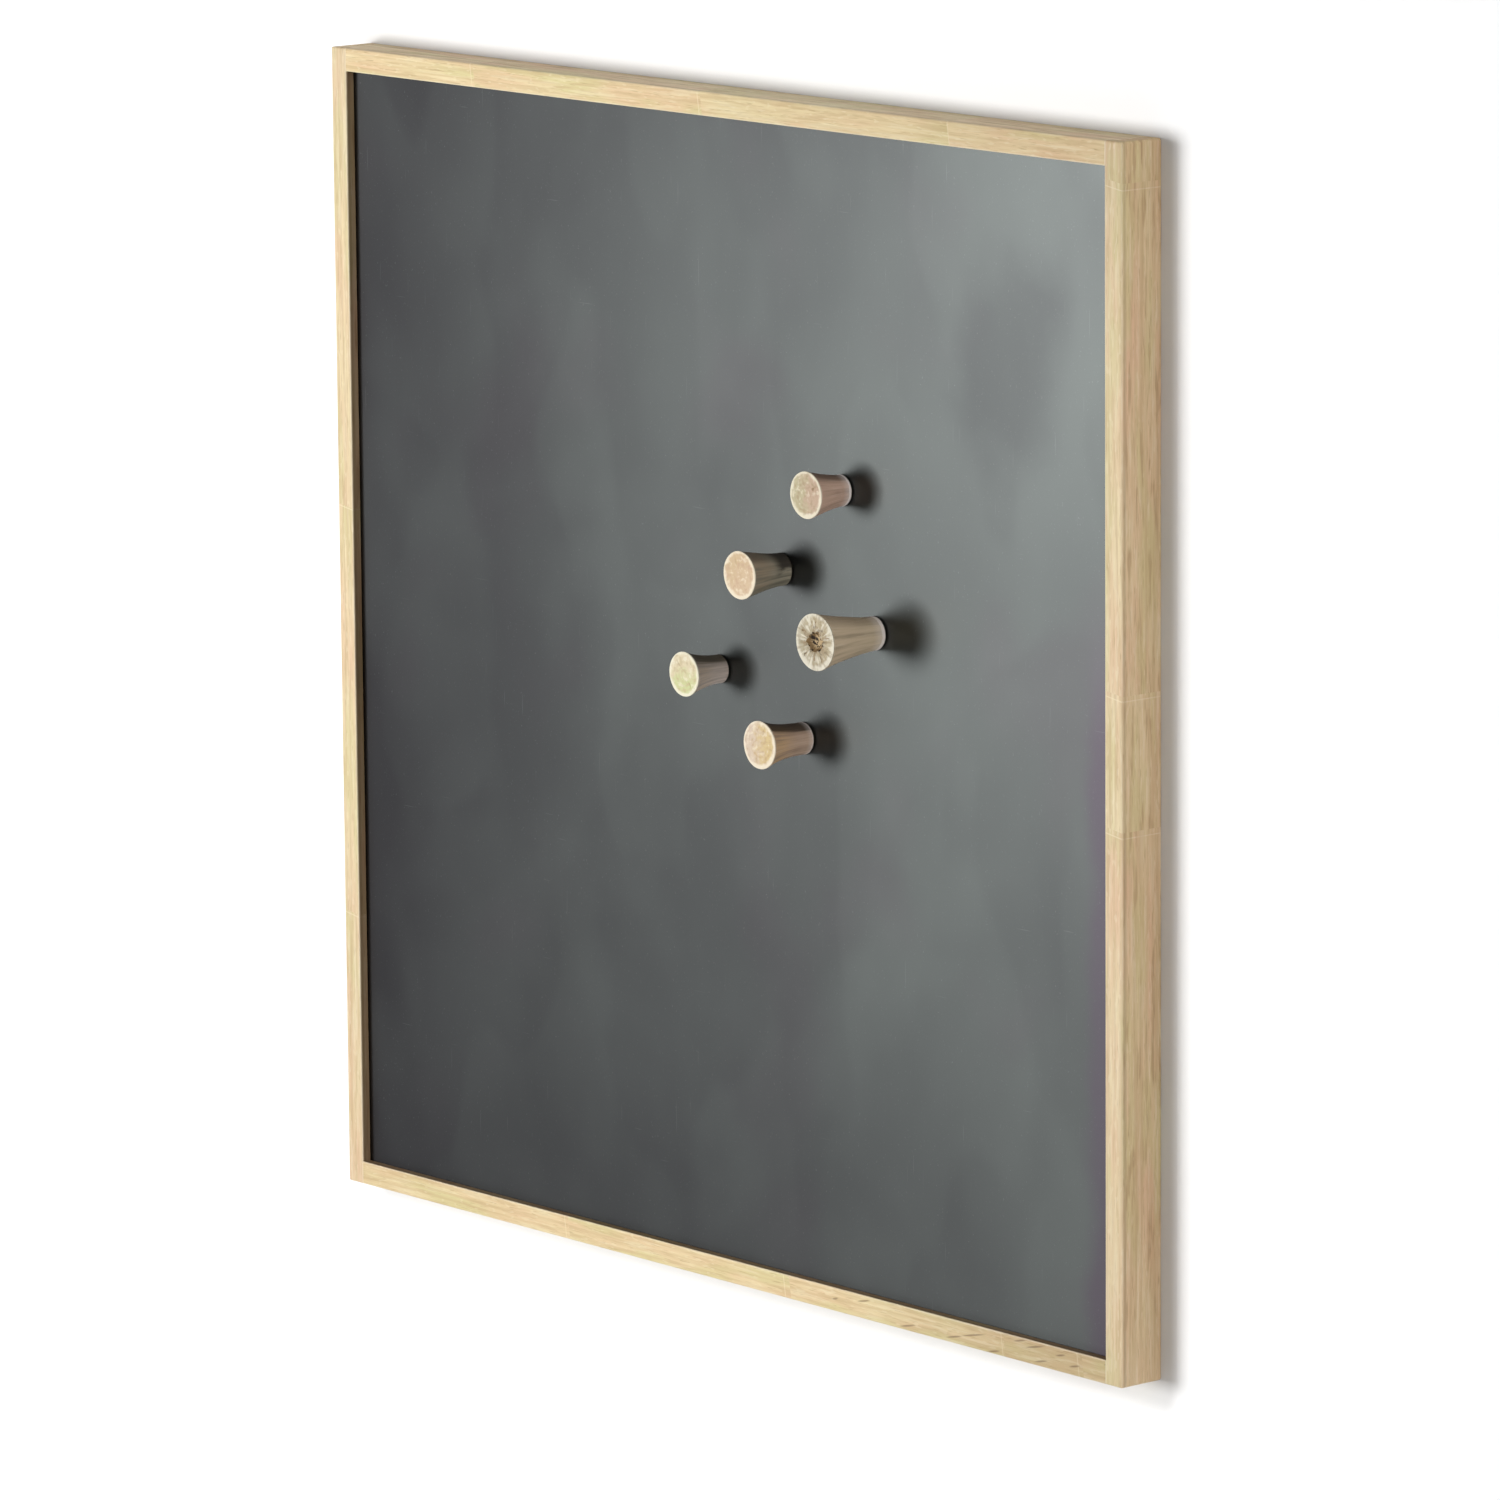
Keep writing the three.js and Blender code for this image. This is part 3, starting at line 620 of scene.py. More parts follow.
pegs = {  # lean is the direction in which the head turns from its first colour to its second
    "top": {
        "foot": 16.4 * mm, "flare": 1.5, "seed": 3.0, "pith": 0.0, "checks": [0.6, 2.9],
        "bark": seen(216, 183, 162), "barkDark": seen(168, 138, 120), "barkLight": seen(228, 204, 184),
        "barkHead": seen(206, 172, 150), "upperBarkAndShade": seen(84, 66, 54), "upperBarkAndShadeShare": 0.75, "upperBarkAndShadeFrom": 0.6,
        "stain": 0.0, "footLight": 0.8, "footBand": 2.2 * mm,
        "head": seen(194, 184, 150), "second": seen(198, 171, 148), "blush": seen(172, 150, 120),
        "rimLight": seen(238, 230, 206), "lean": (1.0, 0.15), "specks": [(5.4, 3.5, 1.0)],
    },
    "upper": {
        "foot": 17.0 * mm, "flare": 1.5, "seed": 11.0, "pith": 0.0, "checks": [1.9],
        "bark": seen(152, 145, 126), "barkDark": seen(108, 103, 88), "barkLight": seen(172, 165, 146),
        "barkHead": seen(162, 142, 118), "upperBarkAndShade": seen(46, 38, 32), "upperBarkAndShadeShare": 0.5, "upperBarkAndShadeFrom": 0.6,
        "stain": 0.9, "footLight": 0.0, "footBand": 1.5 * mm,
        "head": seen(212, 187, 150), "second": seen(216, 191, 158), "blush": seen(202, 168, 140),
        "rimLight": seen(244, 232, 208), "lean": (0.6, -0.8), "specks": [],
    },
    "large": {
        "foot": 17.4 * mm, "flare": 1.5, "seed": 23.0, "pith": 7.0 * mm, "checks": [0.3, 1.5, 2.6, 3.9, 5.2],
        "bark": seen(208, 188, 158), "barkDark": seen(174, 156, 130), "barkLight": seen(224, 208, 182),
        "barkHead": seen(212, 190, 160), "upperBarkAndShade": seen(120, 100, 82), "upperBarkAndShadeShare": 0.4, "upperBarkAndShadeFrom": 0.6,
        "stain": 0.0, "footLight": 0.75, "footBand": 3.0 * mm,
        "head": seen(188, 178, 154), "second": seen(194, 181, 152), "blush": seen(156, 138, 108),
        "rimLight": seen(228, 222, 204), "lean": (0.8, 0.6), "specks": [(1.2, 7.2, 1.1), (-0.4, -8.4, 1.0)],
    },
    "left": {
        "foot": 15.0 * mm, "flare": 2.0, "seed": 37.0, "pith": 0.0, "checks": [2.2, 5.5],
        "bark": seen(208, 193, 182), "barkDark": seen(168, 155, 144), "barkLight": seen(222, 210, 200),
        "barkHead": seen(206, 186, 162), "upperBarkAndShade": seen(66, 60, 42), "upperBarkAndShadeShare": 0.85, "upperBarkAndShadeFrom": 0.45,
        "stain": 0.0, "footLight": 0.0, "footBand": 1.5 * mm,
        "head": seen(226, 212, 180), "second": seen(208, 211, 156), "blush": seen(200, 182, 142),
        "rimLight": seen(242, 236, 214), "lean": (0.2, -1.0), "specks": [],
    },
    "low": {
        "foot": 16.8 * mm, "flare": 2.6, "seed": 53.0, "pith": 0.0, "checks": [1.1, 4.4],
        "bark": seen(194, 166, 144), "barkDark": seen(158, 132, 112), "barkLight": seen(216, 192, 168),
        "barkHead": seen(214, 176, 128), "upperBarkAndShade": seen(44, 36, 28), "upperBarkAndShadeShare": 0.9, "upperBarkAndShadeFrom": 0.5,
        "stain": 0.0, "footLight": 0.5, "footBand": 1.7 * mm,
        "head": seen(218, 199, 178), "second": seen(216, 193, 142), "blush": seen(196, 164, 124),
        "rimLight": seen(242, 230, 208), "lean": (1.0, 0.0), "specks": [],
    },
}


def aroundPeg(f, centre):
    # a point's place from the middle of the peg, how far out it is, and its direction as a turn round the peg
    x, y, z = f.parts(f.moved(f.point(), -centre.x, 0.0, -centre.z))
    radius = (x * x + z * z) ** 0.5
    return x, y, z, radius, x / (radius + pegLook["hub"]), z / (radius + pegLook["hub"])


def roundPoint(f, peg, turnX, turnZ, third):
    # a pattern laid on a small circle has no seam round the peg
    circle = pegLook["patternCircle"]
    return f.joined(turnX * circle + peg["seed"], third, turnZ * circle)


barkLook = {
    "footStain": seen(40, 34, 30),
    "footRim": seen(246, 238, 232),
    "footShade": seen(44, 38, 32),
    "fibres": 1300.0,
    "bands": 380.0,
    "patches": 170.0,
    "fibreStretch": 0.04,  # along the peg, beside the pattern's circle
    "patchStretch": 0.4,
    "headReach": (0.2, 0.7),  # of the peg's length
    "headRagged": 12 * mm,
    "stainReach": 14 * mm,
    "stainFade": 8 * mm,
    "footRagged": 1.4 * mm,
    "rough": 0.6,
    "relief": 0.10 * mm,
}


def barkFinish(name, peg, centre, face, foot):
    look = barkLook
    f = Finish("bark_" + name)
    x, y, z, radius, turnX, turnZ = aroundPeg(f, centre)
    skin = roundPoint(f, peg, turnX, turnZ, y * look["fibreStretch"])
    fibres = f.speckle(skin, look["fibres"])
    bands = f.speckle(skin, look["bands"], 3.0, 0.5)
    patch = f.speckle(roundPoint(f, peg, turnX, turnZ, y * look["patchStretch"]), look["patches"])
    colour = f.mix(bands.rise(0.34, 0.66), peg["barkDark"], peg["bark"])
    colour = f.mix(patch.rise(0.35, 0.7, 0.5), colour, peg["bark"])
    start, end = [share * (foot - face) for share in look["headReach"]]
    nearHead = (y - face + (patch - 0.5) * look["headRagged"]).fall(start, end, 0.7)
    colour = f.mix(nearHead * bands.rise(0.3, 0.6), colour, peg["barkHead"])
    colour = f.mix(fibres.rise(0.52, 0.78, 0.5), colour, peg["barkLight"])
    colour = f.mix(fibres.fall(0.3, 0.44, 0.35), colour, peg["barkDark"])

    # the upper side is darker, partly the bark's own dark patches and partly painted shade, and the upper peg
    # is stained towards its foot
    upperBarkAndShade = (turnZ + (bands - 0.5) * 0.7).rise(peg["upperBarkAndShadeFrom"], peg["upperBarkAndShadeFrom"] + 0.3)
    colour = f.mix(upperBarkAndShade * peg["upperBarkAndShadeShare"], colour, peg["upperBarkAndShade"])
    nearFoot = (y - (foot - look["stainReach"])).rise(0.0, look["stainFade"])
    nearFoot = nearFoot * (turnZ + (patch - 0.5) * 2.0).rise(-0.3, 0.3)
    colour = f.mix(nearFoot * peg["stain"], colour, look["footStain"])

    # a pale band above the foot, whose edge against the sheet is painted dark as contact shade, and a pale
    # edge at the head
    fromFoot = foot - y + (bands - 0.5) * look["footRagged"]
    edgeBand = fromFoot.fall(peg["footBand"], peg["footBand"] * 3.0, 0.4)
    rim = fromFoot.fall(peg["footBand"] * 0.8, peg["footBand"] * 1.1)
    colour = f.mix(edgeBand.math("MAXIMUM", rim) * peg["footLight"], colour, look["footRim"])
    colour = f.mix((foot - y).fall(0.5 * mm, 1.0 * mm), colour, look["footShade"])
    colour = f.mix((y - face).fall(0.7 * mm, 1.5 * mm, 0.4), colour, peg["barkLight"])
    normal = f.bump(fibres + bands * 0.5, 0.4, look["relief"])
    return f.done(f.surface(colour=colour, rough=look["rough"] + fibres * 0.2, normal=normal, shine=0.3))


sawnLook = {
    "hollow": seen(44, 32, 20),
    "hollowEdge": seen(140, 114, 78),
    "hollowFloor": seen(190, 165, 126),
    "ringWidth": 0.35 * mm,
    "ringBend": 6.0,
    "wander": 130.0,
    "blotch": 190.0,
    "mottle": 300.0,
    "rays": 420.0,
    "pitGrain": 420.0,
    "spokes": 1500.0,
    "grain": 2600.0,
    "rayStretch": 0.22,  # from the middle outwards, beside the pattern's circle
    "spokeStretch": 0.08,
    "speckRagged": 0.6 * mm,
    "pitRagged": 1.2 * mm,
    "rotAndShadePits": ((-2.9, 1.9, 1.5), (-1.2, 1.2, 1.0), (3.2, -1.0, 1.1), (2.8, -3.4, 0.8)),  # across, up, size
    "rough": 0.62,
    "relief": 0.08 * mm,
}


def spotOn(x, z, place, ragged):
    # 1 within a small ragged spot of the head, given in millimetres
    spotX, spotZ, size = place
    off = ((x - spotX * mm) ** 2 + (z - spotZ * mm) ** 2) ** 0.5 + ragged
    return off.fall(size * 0.5 * mm, size * 1.2 * mm)


def sawnFinish(name, peg, centre, face, headRadius):
    look = sawnLook
    f = Finish("sawn_" + name)
    x, y, z, radius, turnX, turnZ = aroundPeg(f, centre)
    flat = f.joined(x + peg["seed"], z, 0.0)
    wander = f.speckle(flat, look["wander"], 2.0)
    blotch = f.speckle(flat, look["blotch"], 2.0)
    mottle = f.speckle(f.moved(flat, 3.0, 1.0, 0.0), look["mottle"], 2.0)
    grain = f.speckle(flat, look["grain"])
    spokes = f.speckle(roundPoint(f, peg, turnX, turnZ, radius * look["spokeStretch"]), look["spokes"])
    ring = (radius / look["ringWidth"] + wander * look["ringBend"]).math("SINE") * 0.5 + 0.5
    share = radius / headRadius
    leanX, leanZ = peg["lean"]
    lean = (x * leanX + z * leanZ) / headRadius + (blotch - 0.5) * 2.0
    colour = f.mix(lean.rise(-0.5, 0.5), peg["head"], peg["second"])
    colour = f.mix(mottle.rise(0.54, 0.66, 0.55), colour, peg["rimLight"])
    colour = f.mix(mottle.fall(0.36, 0.47, 0.6), colour, peg["blush"])
    colour = f.mix(ring * 0.3 * wander.rise(0.35, 0.6), colour, peg["blush"])
    colour = f.mix(spokes.rise(0.55, 0.75, 0.35), colour, peg["blush"])
    colour = f.mix(grain.rise(0.6, 0.74, 0.25), colour, peg["blush"])
    rim = share + (blotch - 0.5) * 0.35 - z / headRadius * 0.05
    colour = f.mix(rim.rise(0.78, 0.92, 0.85), colour, peg["rimLight"])
    for speck in peg["specks"]:
        spot = spotOn(x, z, speck, (grain - 0.5) * look["speckRagged"])
        colour = f.mix(spot * 0.7, colour, look["hollowEdge"])

    if peg["pith"]:
        rays = f.speckle(roundPoint(f, peg, turnX, turnZ, radius * look["rayStretch"]), look["rays"], 2.0)
        colour = f.mix(rays.rise(0.52, 0.62) * share.rise(0.3, 0.5, 0.8), colour, peg["rimLight"])
        colour = f.mix(rays.fall(0.36, 0.46) * share.rise(0.2, 0.4, 0.45), colour, peg["blush"])
        inside = (y - face).rise(0.12 * mm, 0.5 * mm)
        colour = f.mix(inside, colour, look["hollowEdge"])
        colour = f.mix((y - face).rise(1.4 * mm, 2.4 * mm), colour, look["hollowFloor"])
        # dark pits in the rotten pith, partly the pith's own dark and partly painted shade of deeper holes
        rotAndShadePits = f.speckle(f.joined(x + peg["seed"], z * 1.4, 0.0), look["pitGrain"], 2.0)
        colour = f.mix(rotAndShadePits.rise(0.52, 0.6) * inside, colour, look["hollow"])
        for pit in look["rotAndShadePits"]:
            spot = spotOn(x, z, pit, (grain - 0.5) * look["pitRagged"])
            colour = f.mix(spot * inside, colour, look["hollow"])
    normal = f.bump(grain * 0.5 + spokes * 0.5 - ring * 0.2, 0.4, look["relief"])
    return f.done(f.surface(colour=colour, rough=look["rough"] + grain * 0.2, normal=normal, shine=0.3))


def quarterTurn(steps, first=1):
    # the angles of the steps of a rounded edge
    return [math.pi / 2 * i / steps for i in range(first, steps + 1)]


def pegProfile(peg, length, headRadius):
    # [radius, distance from the head's face] from the middle of the head round to the disc's seat
    look = pegLook
    footRadius = peg["foot"] / 2
    headEdge, footEdge = look["headEdge"], look["footEdge"]
    inner = headRadius - headEdge
    pith = peg["pith"] / 2
    points = [(0.0, 0.0)]
    if pith:
        deep = look["hollowDepth"]
        points = [(0.0, deep)]
        for share, sunk in look["hollowShape"]:
            points.append((pith * share, deep * sunk))
    for i in range(1, look["headRings"] + 1):
        points.append((pith + (inner - pith) * i / look["headRings"], 0.0))
    for turn in quarterTurn(look["headEdgeSteps"]):
        points.append((inner + headEdge * math.sin(turn), headEdge * (1 - math.cos(turn))))
    start, end = look["rim"], length - footEdge
    for i in range(look["sideRings"] + 1):
        share = i / look["sideRings"]
        radius = footRadius + (headRadius - footRadius) * (1 - share) ** peg["flare"]
        points.append((radius, start + share * (end - start)))
    for turn in quarterTurn(look["footEdgeSteps"]):
        points.append((footRadius - footEdge * (1 - math.cos(turn)), end + footEdge * math.sin(turn)))
    points.append((look["discSeat"], length))
    points.append((look["discSeat"], length - look["seatDepth"]))
    points.append((0.0, length - look["seatDepth"]))
    return points


def waver(x, y=0.0, z=0.0):
    # smooth noise from -1 to 1
    return noise.noise(Vector((x, y, z)))


def shade(x, y=0.0, z=0.0):
    # the same noise from 0 to 1
    return 0.5 + 0.5 * waver(x, y, z)


def openHollow(vertex, peg, centre, x, z, depth, radius):
    # a ragged hollow whose points run into the checks
    look = pegLook
    seed, pith = peg["seed"], peg["pith"] / 2
    turnX, turnZ = x / radius, z / radius
    fade = 1 - max(0.0, min(1.0, (radius / pith - 1.0) / look["hollowFade"]))
    ragged = waver(turnX * 1.5 + seed, turnZ * 1.5, 0) * 0.6
    ragged += waver(turnX * 4.5 + seed, turnZ * 4.5, 3) * 0.5
    stretch = 1 + (0.55 + 0.15 * abs(turnX) + ragged) * 0.8 * fade
    vertex.co.x = centre.x + x * stretch
    vertex.co.z = centre.z + z * stretch
    if depth < look["slack"]:
        vertex.co.y += look["hollowLip"] * fade * shade(turnX * 3 + seed, turnZ * 3, 7)


def checkDepth(peg, x, z, radius, headRadius):
    # how deep the fine checks cut the head here
    look = pegLook
    turn = math.atan2(z, x)
    sink = 0.0
    for check in peg["checks"]:
        wander = look["checkWander"] * waver(radius * 400, check * 7, peg["seed"])
        off = abs((turn - check + math.pi + wander) % (2 * math.pi) - math.pi) * radius
        along = 1 - abs(radius / headRadius - look["checkMiddle"]) / look["checkReach"]
        sink += look["checkDepth"] * max(0.0, 1 - off / look["checkWidth"]) * max(0.0, along)
    return min(sink, look["checkDepth"])


def barkDepth(peg, turnX, turnZ, depth, length):
    # flutes and fibres run along the bark, over broad lumps
    look = pegLook
    heights = []
    for around, along in (look["flutes"], look["fibres"], look["lumps"]):
        heights.append(shade(turnX * around + peg["seed"], depth * along, turnZ * around))
    flutes, fibres, lumps = heights
    ease = min(1.0, depth / look["headEase"]) * min(1.0, (length - depth) / look["footEase"])
    return ease * ((flutes + fibres * 0.6) * look["fibreDepth"] + lumps * look["lumpDepth"])


def shapePeg(bm, peg, centre, face, length, headRadius):
    # the branch isn't quite round, its bark is fluted, and the sawn head has fine checks
    look = pegLook
    seed = peg["seed"]
    seatEdge = look["discSeat"] + look["slack"]
    seatFloor = length - look["seatDepth"] - look["slack"]
    for vertex in bm.verts:
        x, z = vertex.co.x - centre.x, vertex.co.z - centre.z
        depth = vertex.co.y - face
        radius = math.hypot(x, z)
        if radius < look["hub"]:
            continue
        turnX, turnZ = x / radius, z / radius
        if depth <= seatFloor or radius >= seatEdge:
            wobble = look["wobble"] * shade(turnX * 1.1 + seed, turnZ * 1.1, depth * 12)
            wobble *= min(1.0, radius / headRadius)
            vertex.co.x -= turnX * wobble
            vertex.co.z -= turnZ * wobble
        if radius < peg["pith"] / 2 * look["hollowReach"] and depth < look["hollowDepth"] + look["slack"]:
            openHollow(vertex, peg, centre, x, z, depth, radius)
        if depth < look["headEdge"] * 0.5:
            marks = shade(x * look["sawMarkNoise"] + seed, z * look["sawMarkNoise"]) * look["sawMarks"]
            vertex.co.y += checkDepth(peg, x, z, radius, headRadius) + marks
        elif depth <= length - look["footEdge"] * 0.5 and radius >= seatEdge:
            sink = barkDepth(peg, turnX, turnZ, depth, length)
            vertex.co.x -= turnX * sink
            vertex.co.z -= turnZ * sink


def turnedMesh(points, centre, face, segments):
    # a profile of [radius, depth] points spun about an axis that runs into the wall
    bm = bmesh.new()
    verts = [bm.verts.new((centre.x + radius, face + depth, centre.z)) for radius, depth in points]
    edges = [bm.edges.new(pair) for pair in zip(verts, verts[1:])]
    bmesh.ops.spin(
        bm, geom=verts + edges, cent=(centre.x, face, centre.z), axis=(0, 1, 0),
        angle=2 * math.pi, steps=segments, use_merge=True,
    )
    bmesh.ops.remove_doubles(bm, verts=bm.verts, dist=mergeDistance)
    bmesh.ops.recalc_face_normals(bm, faces=bm.faces)
    return bm


def finished(bm, name, materials, sharpAngle=40):
    mesh = bpy.data.meshes.new(name)
    for face in bm.faces:
        face.smooth = True
    bm.to_mesh(mesh)
    bm.free()
    mesh.set_sharp_from_angle(angle=math.radians(sharpAngle))
    for material in materials:
        mesh.materials.append(material)
    piece = bpy.data.objects.new(name, mesh)
    bpy.context.scene.collection.objects.link(piece)
    return piece


def isSawn(peg, middle, centre, face, length):
    # the head, its hollow, the end of the foot and the disc's seat are bare wood, and the rest is bark
    look = pegLook
    depth = middle.y - face
    reach = math.hypot(middle.x - centre.x, middle.z - centre.z)
    atHead = depth < look["headEdge"] or (reach < peg["pith"] / 2 and depth < look["hollowDepth"])
    return atHead or depth > length - look["slack"] * 2 or reach < look["discSeat"] + look["slack"] / 2


for name, peg in pegs.items():
    low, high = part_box("peg_" + name)
    centre = (low + high) / 2
    length = high.y - low.y
    headRadius = (high.x - low.x) / 2
    bm = turnedMesh(pegProfile(peg, length, headRadius), centre, low.y, pegLook["segments"])
    for face in bm.faces:
        sawn = isSawn(peg, face.calc_center_median(), centre, low.y, length)
        face.material_index = 1 if sawn else 0
    shapePeg(bm, peg, centre, low.y, length, headRadius)
    bark = barkFinish(name, peg, centre, low.y, high.y)
    wood = sawnFinish(name, peg, centre, low.y, headRadius)
    piece = finished(bm, "branch_" + name, [bark, wood])
    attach(piece, "magnet_" + name)
    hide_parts("peg_" + name)
    "peg_wood_" + name
print("pegs made")


# Disc magnets with eased edges

discLook = {"ease": 0.3 * mm, "steps": 3, "segments": 72}

for name in pegs:
    low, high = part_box("disc_" + name)
    centre = (low + high) / 2
    ease = discLook["ease"]
    radius, thick = (high.x - low.x) / 2, high.y - low.y
    points = [(0.0, 0.0), (radius - ease, 0.0)]
    for turn in quarterTurn(discLook["steps"]):
        points.append((radius - ease + ease * math.sin(turn), ease * (1 - math.cos(turn))))
    for turn in quarterTurn(discLook["steps"], 0):
        points.append((radius - ease + ease * math.cos(turn), thick - ease + ease * math.sin(turn)))
    points.append((0.0, thick))
    bm = turnedMesh(points, centre, low.y, discLook["segments"])
    piece = finished(bm, "magnet_disc_" + name, [nickel])
    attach(piece, "magnet_" + name)
    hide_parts("disc_" + name)
print("disc magnets made")


# Keyhole plates and screws with their edges eased

fittingLook = {
    "plateEase": 0.18 * mm,
    "screwEase": 0.07 * mm,
    "steps": 2,
    "flatTurn": 0.5,  # degrees: faces that turn less than this are made one
    "edgeTurn": 32,  # edges that turn more than this are eased
    "smoothTurn": 30,
}


def easedCopy(node, name, ease):
    look = fittingLook
    bm = bmesh.new()
    bm.from_mesh(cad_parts[node].data)
    bmesh.ops.remove_doubles(bm, verts=bm.verts, dist=mergeDistance)
    flat, turned = math.radians(look["flatTurn"]), math.radians(look["edgeTurn"])
    bmesh.ops.dissolve_limit(bm, angle_limit=flat, verts=bm.verts, edges=bm.edges)
    sharp = [edge for edge in bm.edges if len(edge.link_faces) == 2 and edge.calc_face_angle() > turned]
    bmesh.ops.bevel(
        bm, geom=sharp, offset=ease, affect="EDGES", segments=look["steps"],
        profile=0.5, material=-1, clamp_overlap=True,
    )
    piece = finished(bm, name, [zinc], look["smoothTurn"])
    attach(piece, "board")
    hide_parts(node)


for side in ("left", "right"):
    easedCopy("hanger_plate_" + side, "keyhole_plate_" + side, fittingLook["plateEase"])
    for place in ("upper", "lower"):
        name = side + "_" + place
        easedCopy("hanger_screw_" + name, "plate_screw_" + name, fittingLook["screwEase"])
print("keyhole plates and screws made")


# Wall, floor, light and camera

room = {
    "wallSide": 6.0,
    "wallGap": 0.3 * mm,
    "holeInset": 0.4 * mm,
    "floorSide": 18.0,
    "floorBelow": 1.2,
    "wallColour": (0.80, 0.80, 0.80, 1.0),
    "floorColour": (0.72, 0.72, 0.72, 1.0),
    "wallGlow": 0.28,
    "floorGlow": 0.5,
    "floorGlowSide": (-1.8, 3.2),
    "shadowRight": 1.5 * mm,
    "shadowDown": 5 * mm,
    "glowFrom": 3.5 * mm,
    "glowTo": 14 * mm,
    "world": 0.10,
    "worldRight": 0.12,
    "worldUp": 0.30,
    "worldLeast": 0.04,
    "skyLeft": 0.12,
    "skyRight": 0.75,
    "skyTurn": (-0.35, 0.45),
}
white = (1.0, 1.0, 1.0, 1.0)


def seenRays(f):
    # 1 for the rays that show the surroundings and 0 for those that only light the object
    rays = f.node("LightPath")
    shown = rays.out("Is Camera Ray") + rays.out("Is Glossy Ray") + rays.out("Is Transmission Ray")
    return shown.clamped()


def stageFinish(name, colour, glow, seeThroughFromBehind, glowSide=None):
    f = Finish(name)
    plain = f.node("BsdfDiffuse", None, {"Color": colour})

    # white away from the board, and bare paint round it, where the board's shadow falls to the lower right
    x, y, z = f.parts(f.point())
    offX = (abs(x - room["shadowRight"]) - board["half"]).math("MAXIMUM", 0.0)
    offZ = (abs(z - board["middle"] + room["shadowDown"]) - board["half"]).math("MAXIMUM", 0.0)
    away = ((offX * offX + offZ * offZ) ** 0.5).rise(room["glowFrom"], room["glowTo"])
    if glowSide:
        away = away * x.rise(*glowSide)
    glowing = f.node("Emission", None, {"Color": white, "Strength": seenRays(f) * away * glow})
    shader = f.node("AddShader", None, {0: plain, 1: glowing})
    if seeThroughFromBehind:
        clear = f.node("BsdfTransparent")
        behind = f.node("NewGeometry").out("Backfacing")
        shader = f.node("MixShader", None, {0: behind, 1: shader, 2: clear})
    return f.done(shader)


def stageSheet(name, side, material):
    # a square sheet that lies flat, and the mesh that it still needs
    bm = bmesh.new()
    bmesh.ops.create_grid(bm, x_segments=1, y_segments=1, size=0.5)
    bmesh.ops.scale(bm, vec=(side, side, 1.0), verts=bm.verts)
    mesh = bpy.data.meshes.new(name)
    mesh.materials.append(material)
    piece = bpy.data.objects.new(name, mesh)
    bpy.context.scene.collection.objects.link(piece)
    return bm, piece


wallPaint = stageFinish("wall_paint", room["wallColour"], room["wallGlow"], True)
bm, wall = stageSheet("wall", room["wallSide"], wallPaint)
upright = Matrix.Rotation(math.radians(90), 3, "X")
bmesh.ops.rotate(bm, cent=(0, 0, 0), matrix=upright, verts=bm.verts)
bmesh.ops.translate(bm, vec=(0, room["wallGap"], board["middle"]), verts=bm.verts)

# the wall is left out behind the board
outer = set(bm.verts)
bmesh.ops.inset_individual(bm, faces=list(bm.faces), thickness=room["wallSide"] / 4)
inner = [vertex for vertex in bm.verts if vertex not in outer]
for vertex in inner:
    upper = vertex.co.z > board["middle"]
    vertex.co.x = math.copysign(board["half"] - room["holeInset"], vertex.co.x)
    vertex.co.z = board["top"] - room["holeInset"] if upper else board["bottom"] + room["holeInset"]
hole = [face for face in bm.faces if all(vertex in inner for vertex in face.verts)]
bmesh.ops.delete(bm, geom=hole, context="FACES_ONLY")
bm.to_mesh(wall.data)
bm.free()

floorPaint = stageFinish("floor_paint", room["floorColour"], room["floorGlow"], False, room["floorGlowSide"])
bm, floor = stageSheet("floor", room["floorSide"], floorPaint)
bmesh.ops.translate(bm, vec=(0, 0, board["bottom"] - room["floorBelow"]), verts=bm.verts)
bm.to_mesh(floor.data)
bm.free()

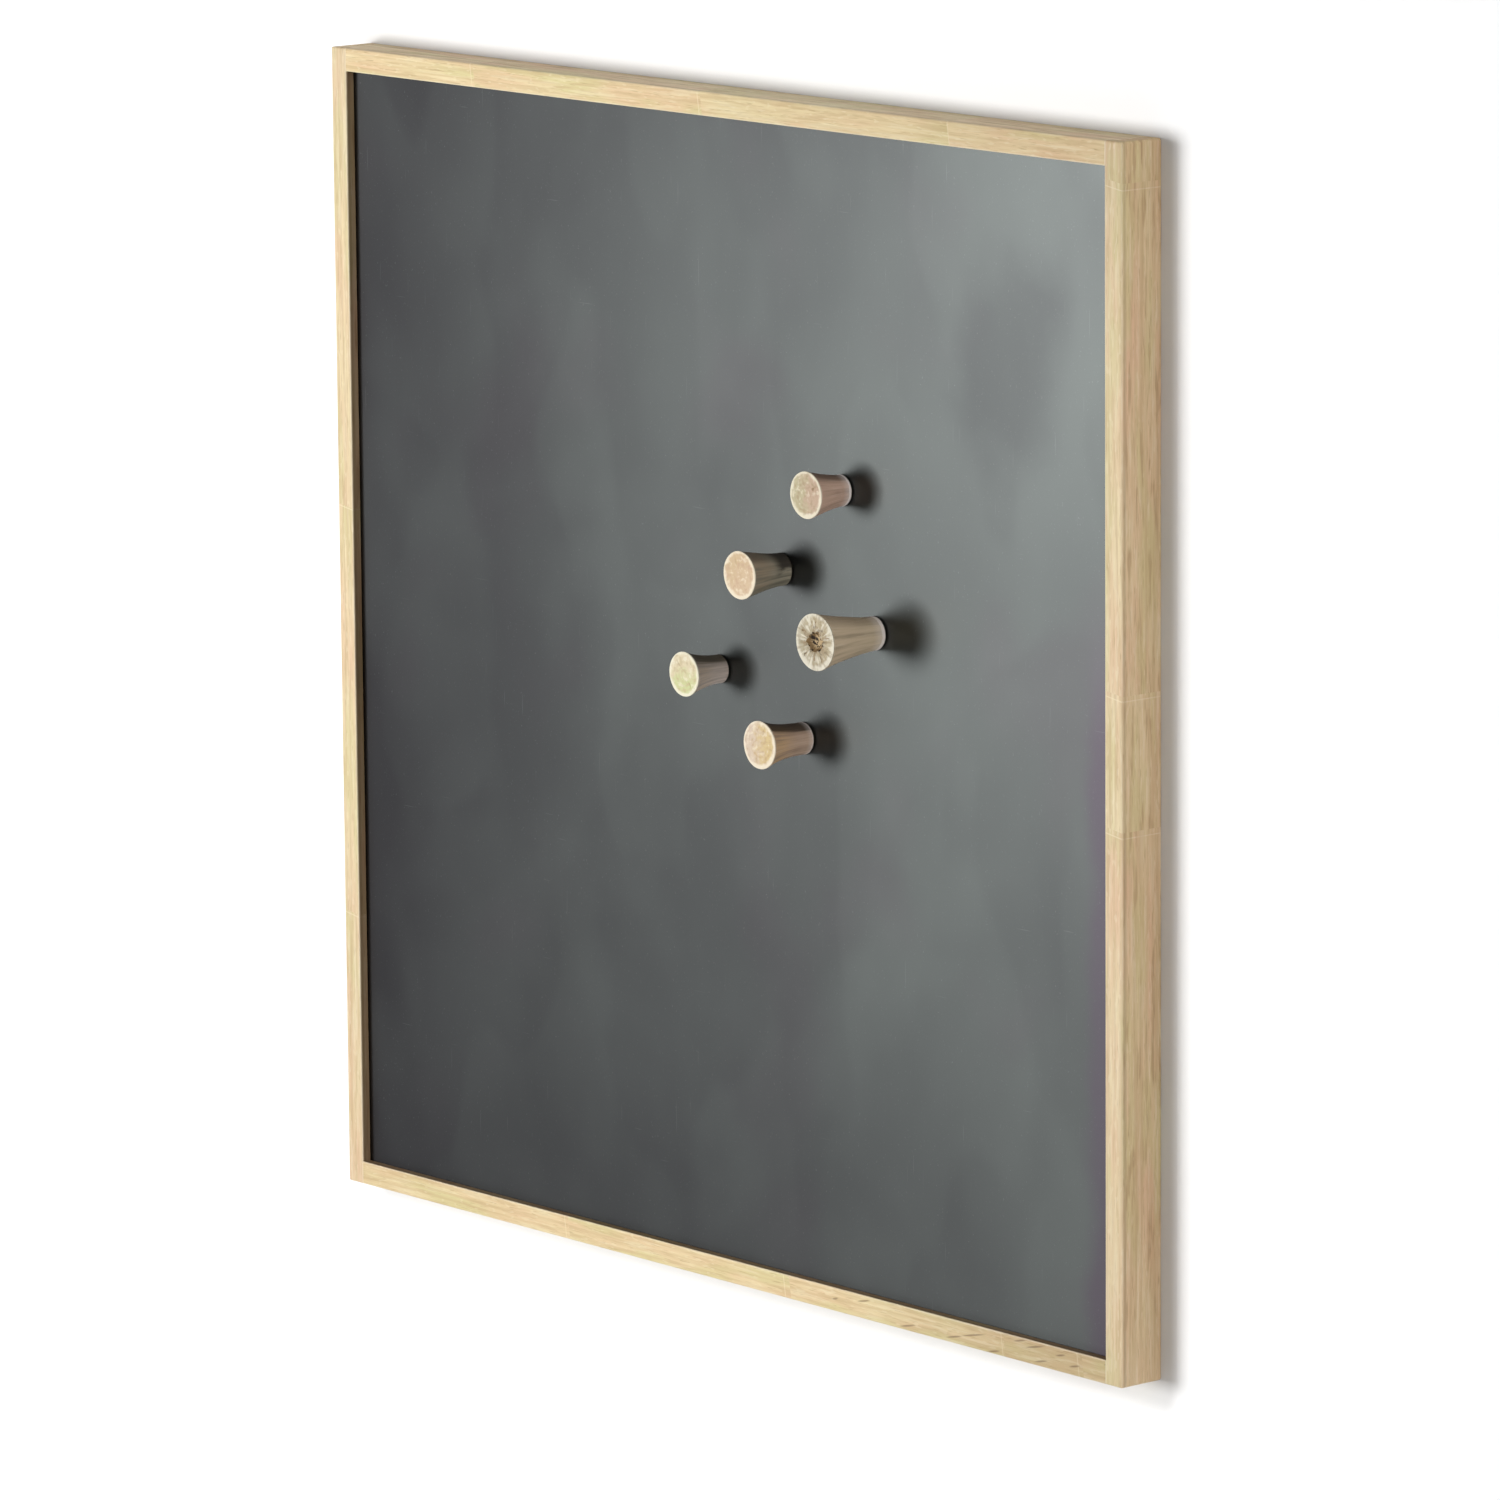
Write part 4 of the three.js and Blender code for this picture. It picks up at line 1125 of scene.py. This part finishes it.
lamps = {
    "key": {"place": Vector((-1.69, -3.05, -0.28)), "size": 1.35, "power": 101.0},
    "side": {"place": Vector((2.4, -0.22, 0.1)), "size": 0.3, "power": 15.4},
    "back": {"place": Vector((0.8, 1.6, 0.6)), "size": 0.9, "power": 26.0},
}
for name, settings in lamps.items():
    data = bpy.data.lights.new(name, "AREA")
    data.shape = "DISK"
    data.size = settings["size"]
    data.energy = settings["power"]
    lamp = bpy.data.objects.new(name, data)
    bpy.context.scene.collection.objects.link(lamp)
    lamp.location = settings["place"]
    ahead = Vector((0, 0, board["middle"])) - settings["place"]
    lamp.rotation_euler = ahead.to_track_quat("-Z", "Y").to_euler()

# the studio is a little brighter to the right and overhead, and its walls are pale except on the left
world = bpy.data.worlds.new("studio")
bpy.context.scene.world = world
f = Finish("studio", world)
toRight, toWall, toTop = f.parts(f.node("TexCoord").out("Generated"))
strength = toRight * room["worldRight"] + toTop * room["worldUp"] + room["world"]
strength = strength.math("MAXIMUM", room["worldLeast"])
pale = toRight.rise(*room["skyTurn"]) * (room["skyRight"] - room["skyLeft"]) + room["skyLeft"]
strength = strength + seenRays(f) * (pale - strength).math("MAXIMUM", 0.0)
sky = f.node("Background", None, {"Color": white, "Strength": strength})
f.node("OutputWorld", None, {"Surface": sky})

camera = {
    "place": Vector((3.43943, -2.93479, 0.50093)),
    "right": Vector((0.650108, 0.759801, -0.00783)),
    "up": Vector((-0.132034, 0.123108, 0.983571)),
    "ahead": Vector((-0.748282, 0.638394, -0.180353)),
    "lens": 220.647,
    "sensor": 36.0,
    "near": 0.1,
    "far": 60.0,
}
lens = bpy.data.cameras.new("camera")
lens.lens = camera["lens"]
lens.sensor_width = camera["sensor"]
lens.clip_start = camera["near"]
lens.clip_end = camera["far"]
eye = bpy.data.objects.new("camera", lens)
bpy.context.scene.collection.objects.link(eye)
turn = Matrix((camera["right"], camera["up"], -camera["ahead"])).transposed().to_4x4()
eye.matrix_world = Matrix.Translation(camera["place"]) @ turn
bpy.context.scene.camera = eye
bpy.context.scene.view_settings.view_transform = "Standard"
print("room, light and camera set")
